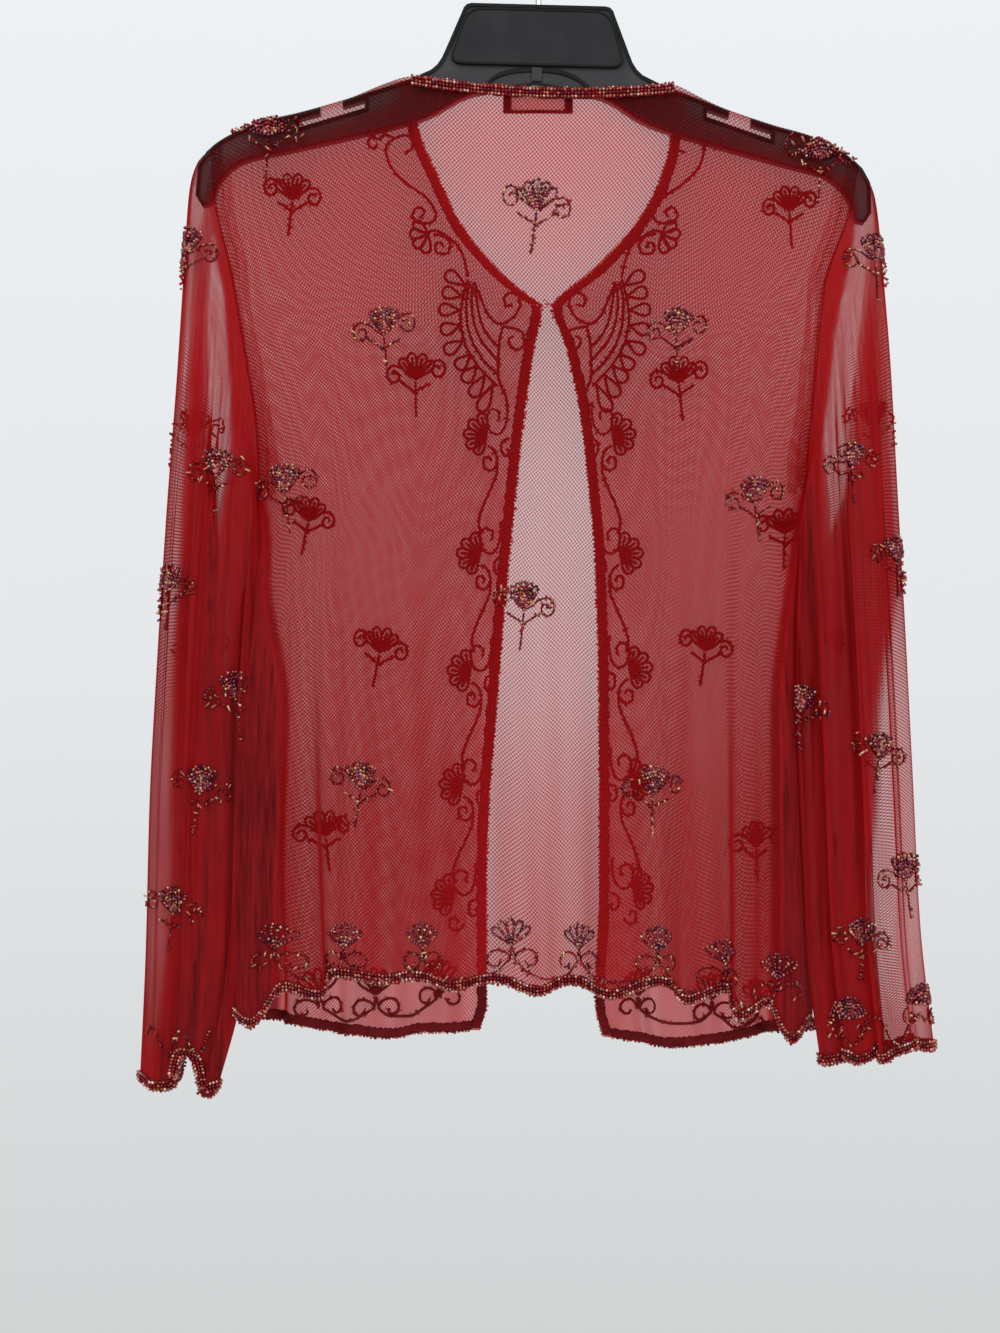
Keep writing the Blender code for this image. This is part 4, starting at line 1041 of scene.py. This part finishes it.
wingLook = {  # mm from its top
    "top": (-46.5, -231.5), "mirrorTop": (51.5, -231.5),
    "arcs": [[(0, 0), (-3.5, -13.3), (-4.7, -25.1), (-2.1, -39.9), (5.3, -53.2), (18.6, -67.9)],
             [(1.6, -1.5), (-1, -13.3), (-0.6, -26.6), (3.1, -39.9), (10.5, -51.7), (19.3, -60.6)],
             [(3.1, -3), (2.4, -14.8), (3.8, -26.6), (8.3, -38.4), (14.2, -45.8), (20.1, -53.2)],
             [(4.6, -5.9), (6.1, -16.2), (8.3, -26.6), (12.7, -35.4), (20.1, -43.6)],
             [(3.8, -1.5), (8.3, -11.8), (12.7, -22.2), (20.1, -28.4), (27.5, -25.4), (33.4, -16.2),
              (32, -10), (27, -8.6), (23, -12), (24.5, -17), (28, -16)],
             [(22.3, -29.8), (20.1, -39.9), (19.2, -59.1), (21.3, -67.9), (24.5, -75.3), (25.3, -84.2)],
             [(22.3, -29.8), (29, -31), (35, -34), (36, -40), (32, -44.5), (27, -42.5), (26, -38),
              (29, -36)]],
    # middles of the loops outside the first arc, and where they are tied to it
    "loops": [((-8.7, 0.7), (-1.2, -4)), ((-10.6, -8.9), (-3, -11)), ((-12.4, -19.2), (-4.3, -19.5)),
              ((-11.7, -31), (-4.2, -29)), ((-9.5, -42.8), (-2.4, -38.5)), ((-3.4, -52.4), (1.6, -47)),
              ((1.0, -60.2), (6.2, -54.2)), ((6.0, -68.2), (11.2, -60)), ((11.3, -76.2), (16.4, -66))],
    "fat": 4.6,
}


def wing():  # fan of nested arcs with a row of loops outside
    parts = [("curl", curved(arc, 50)) for arc in wingLook["arcs"]]
    for middle, foot in wingLook["loops"]:
        middle, foot = np.array(middle), np.array(foot)
        reach = (middle - foot) * 1.72
        turn = math.degrees(math.atan2(reach[0], reach[1]))
        parts.append(("petal", petal(float(np.hypot(*reach)), wingLook["fat"], turn, foot)))
    return parts


neckLook = {  # beside the V neck, mm from its flower
    "vine": [(-15.6, 51.5), (-10.6, 54), (-10.2, 59.5), (-15, 62.6), (-21.7, 60.6), (-27.3, 53.9),
             (-24.5, 43.5), (-14, 32.1), (-0.8, 22.6), (4.9, 12.2), (1, 7.2), (-6, 7), (-10.6, 12),
             (-6.6, 17.4), (-2.5, 14), (-5, 11)],
    "top": [(-22, 61), (-28, 63), (-32, 60), (-34.9, 62), (-38.6, 58), (-35, 54), (-32.5, 57)],
    "tail": [(-2, 1), (4, 2.5), (9.6, 0), (19.2, -8.1), (22.9, -17), (25, -27)],
    "scroll": [(3, 0.5), (10, -1.5), (14, -7), (11, -12.4), (5.6, -12), (4, -7.5), (7, -5), (9.4, -8)],
    "turns": (-50, -88, -130, -168), "long": 12.0, "wide": 3.7,
    "flower": (-71.4, -203), "mirrorFlower": (76.5, -203),
}


def neckVine():
    parts = [("curl", curved(neckLook[name], 60)) for name in ("vine", "top", "tail", "scroll")]
    return parts + [("petal", petal(neckLook["long"], neckLook["wide"], turn)) for turn in neckLook["turns"]]


for node, cloth, side, top, flower in (("front_left", leftCloth, 1, "top", "flower"),
                                       ("front_right", rightCloth, -1, "mirrorTop", "mirrorFlower")):
    sew(works[node], placed(wing(), *wingLook[top], 0, 1, side), cloth.onSurface)
    sew(works[node], placed(neckVine(), *neckLook[flower], 0, 1, side), cloth.onSurface)

cuffLook = {  # flowers, then outer x, inner x and height of the looping line above the cuff, mm
    "sleeve_left": ([], -250, -204, -714), "sleeve_right": ([(192, -698), (241, -691)], 245, 176, -706),
    "turns": (-72, -54, -36, -18, 0, 18, 36, 54, 72), "loop": 9,
}
for node, sleeve in (("sleeve_left", leftSleeve), ("sleeve_right", rightSleeve)):
    flowers, outer, inner, low = cuffLook[node]
    for x, z in flowers:
        parts = fan(cuffLook["turns"], 14, 2.2)
        parts += [("curl", scroll((side * 8, -8), 90 - side * 20, -side * 400, 6.5, 2)) for side in (-1, 1)]
        sew(works[node], placed(parts, x, z, 0, 0.95), sleeve.onSurface)
    share = np.linspace(0.03, 0.97, 22)
    line = np.stack((between(outer, inner, share), low + cuffLook["loop"] * np.sin(share * 15)), axis=1)
    sew(works[node], placed([("curl", curved(line, 90))], 0, 0), sleeve.onSurface)
print("vines sewn")


# bands: a flat ring section swept along an edge, with its bead rows
bandLook = {
    "width": 0.0065, "thick": 0.0016, "square": 0.6, "around": 12, "cut": (0.015, 0.4),
    "fuzz": 0.17, "fuzzWaves": (13700, 9100), "uneven": 0.00012, "sunk": 0.55,
    "rows": [(-2.15, bandMix), (0.0, ["red", "red", "plum", "copper"]), (2.15, bandMix)],  # mm across, mix
    # uneven single beads along the very edge
    "picot": 0.0024, "picotOut": 0.0002, "picotUneven": 0.0003, "picotSwell": 0.9,
    "picotMix": bandMix + ["red", "red", "plum"],
}


def band(name, node, path, towardsEdge, outward, loop=False):
    half, thick = bandLook["width"] / 2, bandLook["thick"] / 2
    many = len(path)

    def section(around, along):
        at = along * (many - 1)
        cell = np.minimum(at.astype(int), many - 2)
        share = (at - cell)[:, None]
        lines = (path, outward, towardsEdge)
        spot, out, edge = (between(part[cell], part[cell + 1], share) for part in lines)
        angle = 2 * math.pi * around[:, None]
        circle = (np.cos(angle), np.sin(angle))
        wide, high = (np.sign(part) * np.abs(part) ** bandLook["square"] for part in circle)
        waveX, waveZ = bandLook["fuzzWaves"]
        fuzz = 1 + bandLook["fuzz"] * np.sin(waveX * spot[:, :1] + waveZ * spot[:, 2:])
        return spot + edge * (wide * half) * fuzz + out * (high * thick)

    piece = gridPiece(name, bandLook["around"], many - 1, section, np.array(bandLook["cut"]), 1, bindingRed,
                      wrap=True, capped=not loop)
    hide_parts(node)
    work = Beadwork()

    def beadRow(line, step, uneven, colours, swell=1.0):
        spots = spaced(line, step)
        spots = spots + uneven * dice.standard_normal(spots.shape)
        work.add(spots, np.gradient(spots, axis=0), "seed", colours, swell)

    for across, colours in bandLook["rows"]:
        lift = thick + beadLook["seed"] * bandLook["sunk"]
        line = path + towardsEdge * across * mm + outward * lift
        beadRow(line, beadLook["seedStep"], bandLook["uneven"], colours)
    beadRow(path + towardsEdge * (half + bandLook["picotOut"]), bandLook["picot"], bandLook["picotUneven"],
            bandLook["picotMix"], bandLook["picotSwell"])
    return [piece] + work.make(name + "_beads", "beaded_border")


def panelBand(name, node, cloth, u, v, edgeU, edgeV):
    path = cloth.place(u, v)
    edge = unit(cloth.place(edgeU, edgeV) - path)
    within = (np.clip(part, 0.001, 0.999) for part in (u, v))
    return band(name, node, path, edge, cloth.normal(*within))


trims = {node: list(seams.get(node, [])) for node in sheets}
half = drape["border"] / 2


def hemBand(side, cloth, u):
    v = 1 - half / (cloth.topZ(u) - cloth.hemZ(u))
    return panelBand(f"band_hem_{side}", f"hem_band_{side}", cloth, u, v, u, np.ones_like(u))


trims["back_panel"] += hemBand("back", backCloth, np.linspace(0, 1, 260))
neckX = np.linspace(drape["neckLeft"], drape["neckRight"], 90)
neckU, neckV = backCloth.find(neckX, backTopZ(neckX) - half * 0.9)
path = backCloth.place(neckU, neckV) - [0, bandLook["thick"], 0]
up, behind = (np.tile(way, (len(path), 1)) for way in ([0, 0, 1.0], [0, -1.0, 0]))
trims["back_panel"] += band("band_neck_back", "neck_band_back", path, up, behind)
for side, cloth in (("left", leftCloth), ("right", rightCloth)):
    span = cloth.second[0, 1] - cloth.second[-1, 1]
    closure = (cloth.second[0, 1] - drape["closure"]) / span
    for part, start, end in (("neck", 0.004, closure - 0.001), ("edge", closure + 0.001, 0.997)):
        v = np.linspace(start, end, 110 if part == "neck" else 240)
        trims["front_" + side] += panelBand(f"band_{part}_{side}", f"{part}_band_{side}", cloth,
                                            cloth.fromEdge(v, half), v, np.ones_like(v), v)
    inner = float(cloth.fromEdge(np.array([0.99]), drape["border"])[0])
    trims["front_" + side] += hemBand(side, cloth, np.linspace(0.0, inner, 150))
for side, sleeve in (("left", leftSleeve), ("right", rightSleeve)):
    q = np.linspace(0, 1, 261)
    path = sleeve.ring(q, 1 - half / sleeve.length)
    path[-1] = path[0]
    lower = sleeve.ring(q, 1.0)
    lower[-1] = lower[0]
    around = unit(np.roll(path[:-1], -1, axis=0) - np.roll(path[:-1], 1, axis=0))
    around = np.concatenate((around, around[:1]))
    edge = unit(lower - path)
    edge = unit(edge - around * np.sum(edge * around, axis=1)[:, None])
    out = unit(np.cross(around, edge))
    middle = path[:-1].mean(axis=0)
    out = out * np.sign(np.sum(out * (path - middle) * [1, 1, 0]))
    trims["sleeve_" + side] += band(f"band_cuff_{side}", f"cuff_band_{side}", path, edge, out, loop=True)
print("bands ready")

for node, work in works.items():
    trims[node] += work.make("beads_" + node, "net")


# label inside the back neck: a bare woven tag with dark ends
labelLook = {
    "left": -0.024, "right": 0.020, "top": -0.1145, "bottom": -0.1290, "cut": (0.044, 0.0145),
    "thick": 0.0006, "inside": 0.0013, "curl": 0.0004, "rib": 0.0009,
    "middle": (0.022, 0.0072), "half": (0.0168, 0.0052),  # pale part of the cut
    "pale": (0.95, 0.80, 0.78, 1), "dark": (0.11, 0.006, 0.009, 1), "through": 0.75,
}
tag = Finish("label_weave", Roughness=0.7, Specular_IOR_Level=0.2, Sheen_Weight=0.2)
tagX, tagZ = tag.axes("UV", "XY")
(middleX, middleZ), (halfX, halfZ) = labelLook["middle"], labelLook["half"]
window = ((tagX - middleX).size() < halfX) * ((tagZ - middleZ).size() < halfZ)
ribs = (tagX * (2 * math.pi / labelLook["rib"])).sine() * 0.5 + 0.5
tagColour = tag.node("MixRGB", {}, {"Fac": window * (0.8 + 0.2 * ribs), "Color1": labelLook["dark"],
                                    "Color2": labelLook["pale"]})
tag.feed("Base Color", tagColour)
tagGlow = tag.node("BsdfTranslucent", {}, {"Color": labelLook["pale"]})
tag.show(tag.mixed(window * labelLook["through"], None, tagGlow))
tag.bump(ribs + tag.noise(700, 3), 0.4, 0.0003)


def labelPlace(a, b):
    x = between(labelLook["left"], labelLook["right"], a)
    z = between(labelLook["top"], labelLook["bottom"], b)
    u, v = backCloth.find(x, z)
    curl = labelLook["curl"] * np.sin(9 * a) * b
    return backCloth.place(u, v) + np.stack((0 * a, labelLook["inside"] + curl, 0 * a), axis=-1)


label = gridPiece("label_tag", 40, 16, labelPlace, np.array(labelLook["cut"]), -1, tag.material)
thick = label.modifiers.new("thick", "SOLIDIFY")
thick.thickness, thick.offset = labelLook["thick"], 0
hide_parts("neck_label")
trims["back_panel"].append(label)


# hanger: outline with strap slots, a web between rims, and a glossy head plate
def mouldFinish(name, dark, light, specular, rough, outwards=0.0):
    mould = Finish(name, Specular_IOR_Level=specular)
    scuff = mould.noise(55, 5)
    x, = mould.axes("Object", "X")
    # outwards: share of the colour painted lighter away from the middle, painted shade under the head plate
    # and painted light along the arms
    shade = scuff * (1 - outwards) + x.size() * (5 * outwards)
    mould.feed("Base Color", mould.ramp(shade, [(0.3, dark), (0.75, light)]))
    mould.feed("Roughness", scuff * 0.2 + rough)
    mould.bump(mould.noise(1600, 4), 0.1, 0.0002)
    return mould.material


rimBlack = mouldFinish("hanger_rim", (0.002, 0.002, 0.0025), (0.005, 0.005, 0.006), 0.22, 0.28)
# the web is painted darker near the middle, where the head plate shades it, and lighter along the arms, where
# more light falls
webBlack = mouldFinish("hanger_web", (0.028, 0.0275, 0.031), (0.115, 0.112, 0.12), 0.35, 0.36, 0.75)
plateBlack = mouldFinish("hanger_gloss", (0.006, 0.006, 0.008), (0.012, 0.0115, 0.014), 0.38, 0.12)


def armZ(x):
    return float(smoothLine(x, armTop[:, 0], armTop[:, 1]))


def hangerOutline():
    slot = hangerLook["slot"]
    rows = [tuple(row) for row in np.array(hangerLook["head"]) * mm] + [tuple(armTop[0])]
    mouthIn, mouthOut = slot["mouth"]
    roof, bed = slot["roof"], slot["floor"]
    for x, drop in ((mouthIn, 0), (mouthIn, roof), (slot["inner"], roof), (slot["inner"], bed),
                    (slot["outer"], bed), (slot["outer"], roof), (mouthOut, roof), (mouthOut, 0)):
        rows.append((x, armZ(x) - drop))
    for x in np.linspace(*hangerLook["pastSlot"], 14):
        rows.append((x, armZ(x)))
    rows += [tuple(row) for row in armTop[-2:]]
    rows += [tuple(row) for row in curved(armUnder, 40)]
    return np.array([tilted(x, z) for x, z in rows] + [tilted(-x, z) for x, z in reversed(rows[:-1])])


def inset(outline, distance):  # the same closed outline, smaller all round
    before, after = unit(outline - np.roll(outline, 1, axis=0)), unit(np.roll(outline, -1, axis=0) - outline)
    area = np.sum(outline[:, 0] * np.roll(outline[:, 1], -1) - np.roll(outline[:, 0], -1) * outline[:, 1])
    along = unit(before + after)
    inwards = np.stack((-along[:, 1], along[:, 0]), axis=1) * np.sign(area)
    corner = np.maximum(np.sum(along * after, axis=1, keepdims=True), 0.45)
    return outline + inwards * distance / corner


def ringOf(outline, distance):
    inner = inset(outline, distance)
    many = len(outline)
    return [(outline[i], outline[(i + 1) % many], inner[(i + 1) % many], inner[i]) for i in range(many)]


def extruded(polygons, nearY, farY):
    shape = bmesh.new()
    for polygon in polygons:
        shape.faces.new([shape.verts.new((x, nearY, z)) for x, z in polygon])
    bmesh.ops.remove_doubles(shape, verts=shape.verts[:], dist=1e-6)
    grown = bmesh.ops.extrude_face_region(shape, geom=shape.faces[:], use_keep_orig=True)["geom"]
    grown = [part for part in grown if isinstance(part, bmesh.types.BMVert)]
    bmesh.ops.translate(shape, verts=grown, vec=(0, farY - nearY, 0))
    bmesh.ops.recalc_face_normals(shape, faces=shape.faces[:])
    return shape


def rounded(corners, radius, steps=7):  # a closed outline with soft corners
    corners = np.array(corners)
    t = np.linspace(0, 1, steps)[:, None]
    parts = []
    for before, corner, after in zip(np.roll(corners, 1, axis=0), corners, np.roll(corners, -1, axis=0)):
        start, end = corner + unit(before - corner) * radius, corner + unit(after - corner) * radius
        parts.append((1 - t) ** 2 * start + 2 * t * (1 - t) * corner + t * t * end)
    return np.concatenate(parts)


def finishShape(name, shape, material, bevelWidth, segments=2):
    piece = addPiece(name, meshOf(name, shape), material)
    soft = piece.modifiers.new("soft edges", "BEVEL")
    soft.width, soft.segments = bevelWidth, segments
    soft.limit_method, soft.angle_limit, soft.harden_normals = "ANGLE", 0.7, True
    return piece


thickness = hangerLook["halfThick"]
outline = hangerOutline()
web = thickness - hangerLook["recess"]
rim = ringOf(outline, hangerLook["rim"])
hanger = finishShape("hanger_rim", extruded(rim, -thickness, thickness), rimBlack, hangerLook["rimSoft"])
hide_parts("hanger_body")
webShape = extruded([inset(outline, hangerLook["webIn"])], -web, web)
finishShape("hanger_web", webShape, webBlack, hangerLook["webSoft"], 1)
plateLook = {
    "corners": [(-0.0450, -0.0628), (0.0450, -0.0628), (0.0568, -0.0990), (-0.0568, -0.0990)],
    "soft": 0.010, "raise": 0.0010, "lip": 0.0017, "lipRaise": 0.0018, "sunk": 0.0002,
    "arch": [(-31, -108.5), (-24, -103.6), (-12, -100.4), (0, -99.6), (12, -100.4), (24, -104.0),
             (33, -110)],  # mm
    "archWide": 0.0028, "archRaise": 0.0014,
    "post": [(-0.0033, -0.0992), (0.0033, -0.0992), (0.0033, -0.1085), (-0.0033, -0.1085)],
}
plate = np.array([tilted(x, z) for x, z in rounded(plateLook["corners"], plateLook["soft"])])
arch = curved(np.array(plateLook["arch"]) * mm, 28)
arch = np.stack(tilted(arch[:, 0], arch[:, 1]), axis=1)
under = arch - [0, plateLook["archWide"]]
archCells = [(arch[i], arch[i + 1], under[i + 1], under[i]) for i in range(len(arch) - 1)]
post = [tilted(x, z) for x, z in plateLook["post"]]
for number, side in enumerate((-1, 1)):
    for name, cells, top, black, soft, segments in (
            ("plate", [plate], thickness + plateLook["raise"], plateBlack, 0.0007, 3),
            ("lip", ringOf(plate, plateLook["lip"]), thickness + plateLook["lipRaise"], rimBlack, 0.0006, 2),
            ("arch", archCells, web + plateLook["archRaise"], rimBlack, 0.0004, 2),
            ("post", [post], thickness, webBlack, 0.0005, 2)):
        shape = extruded(cells, side * (web - plateLook["sunk"]), side * top)
        finishShape(f"hanger_{name}_{number}", shape, black, soft, segments)


# hook: round wire, smooth all along
hookLook = {"wire": 0.002, "bend": 0.020, "from": -62, "to": 205, "rise": 0.010}
centreZ = hookLook["wire"] - hookLook["bend"]
angles = np.radians(np.linspace(hookLook["from"], hookLook["to"], 46))
bend = np.stack((hookLook["bend"] * np.cos(angles), centreZ + hookLook["bend"] * np.sin(angles)), axis=1)
foot = hangerLook["headTop"] + 0.0003
share = np.linspace(0, 1, 12)[:-1]
neck = np.stack((bend[0, 0] * ease(share), between(foot + hookLook["rise"], bend[0, 1], share)), axis=1)
wirePath = np.concatenate(([(0.0, foot)], neck, bend))
wirePath = np.array([(x, 0, z) for x, z in (tilted(*spot) for spot in wirePath)])
wire = Finish("plated_wire", Metallic=1.0)
wire.feed("Base Color", wire.ramp(wire.noise(120, 4), [(0.3, (0.50, 0.49, 0.48)), (0.7, (0.68, 0.67, 0.66))]))
wire.feed("Roughness", wire.noise(420, 4) * 0.2 + 0.14)
wire.bump(wire.noise(2200, 2), 0.06, 0.0001)
hook = roundWire("hook_wire", [wirePath], hookLook["wire"], 4, wire.material)
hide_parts("hanger_hook")
for node in ("closure_hook", "closure_eye"):
    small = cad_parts[node]
    small.data.materials.clear()
    small.data.materials.append(wire.material)
print("hanger ready")

for node, piece in sheets.items():
    _, _, cut, flatArea = sheetLook[node]


# room, light and camera
roomLook = {
    "sky": [(0.0, (0.35, 0.36, 0.36)), (0.365, (0.64, 0.66, 0.66)), (0.5, (0.785, 0.80, 0.82)),
            (0.635, (0.845, 0.88, 0.895)), (1.0, (1.0, 1.0, 1.0))],  # from below to above
    "floorZ": -1.65, "floorRadius": 2.2,
    # name, place, size, power
    "lamps": [("key", (-0.9, -1.7, 0.7), 0.7, 10), ("fill", (1.1, -1.5, 0.2), 0.9, 5),
              ("rear", (0.4, 1.8, 0.6), 0.9, 5)],
    "aim": (0, 0, -0.42),
    "camera": (-0.026, -1.5, -0.478), "pictureWidth": 0.844,
}
world = bpy.data.worlds.new("studio")
bpy.context.scene.world = world
sky = Finish("studio", world, "Background")
rayZ, = sky.axes("Generated", "Z")
sky.feed("Color", sky.ramp(rayZ * 0.5 + 0.5, roomLook["sky"]))

floorShape = bmesh.new()
bmesh.ops.create_circle(floorShape, cap_ends=True, segments=96, radius=roomLook["floorRadius"])
bmesh.ops.translate(floorShape, verts=floorShape.verts[:], vec=(0, 0, roomLook["floorZ"]))
floor = addObject("floor", meshOf("floor", floorShape))
pale = Finish("pale_floor", Roughness=0.8)
pale.feed("Base Color", pale.ramp(pale.noise(3, 3), [(0.3, (0.70, 0.71, 0.71)), (0.7, (0.74, 0.75, 0.75))]))
floor.data.materials.append(pale.material)

for name, spot, size, power in roomLook["lamps"]:
    lamp = bpy.data.lights.new(name, "AREA")
    lamp.energy, lamp.size = power, size
    light = addObject(name, lamp)
    light.location = spot
    aim = np.array(roomLook["aim"]) - np.array(spot)
    light.rotation_euler = (math.atan2(math.hypot(aim[0], aim[1]), -aim[2]), 0, math.atan2(-aim[0], aim[1]))

camera = addObject("camera", bpy.data.cameras.new("camera"))
camera.location = roomLook["camera"]
camera.rotation_euler = (math.pi / 2, 0, 0)
camera.data.sensor_width, camera.data.lens = 36, 36 * -roomLook["camera"][1] / roomLook["pictureWidth"]
bpy.context.scene.camera = camera
bpy.context.scene.view_settings.view_transform = "Standard"
bpy.context.scene.cycles.transparent_max_bounces = 64
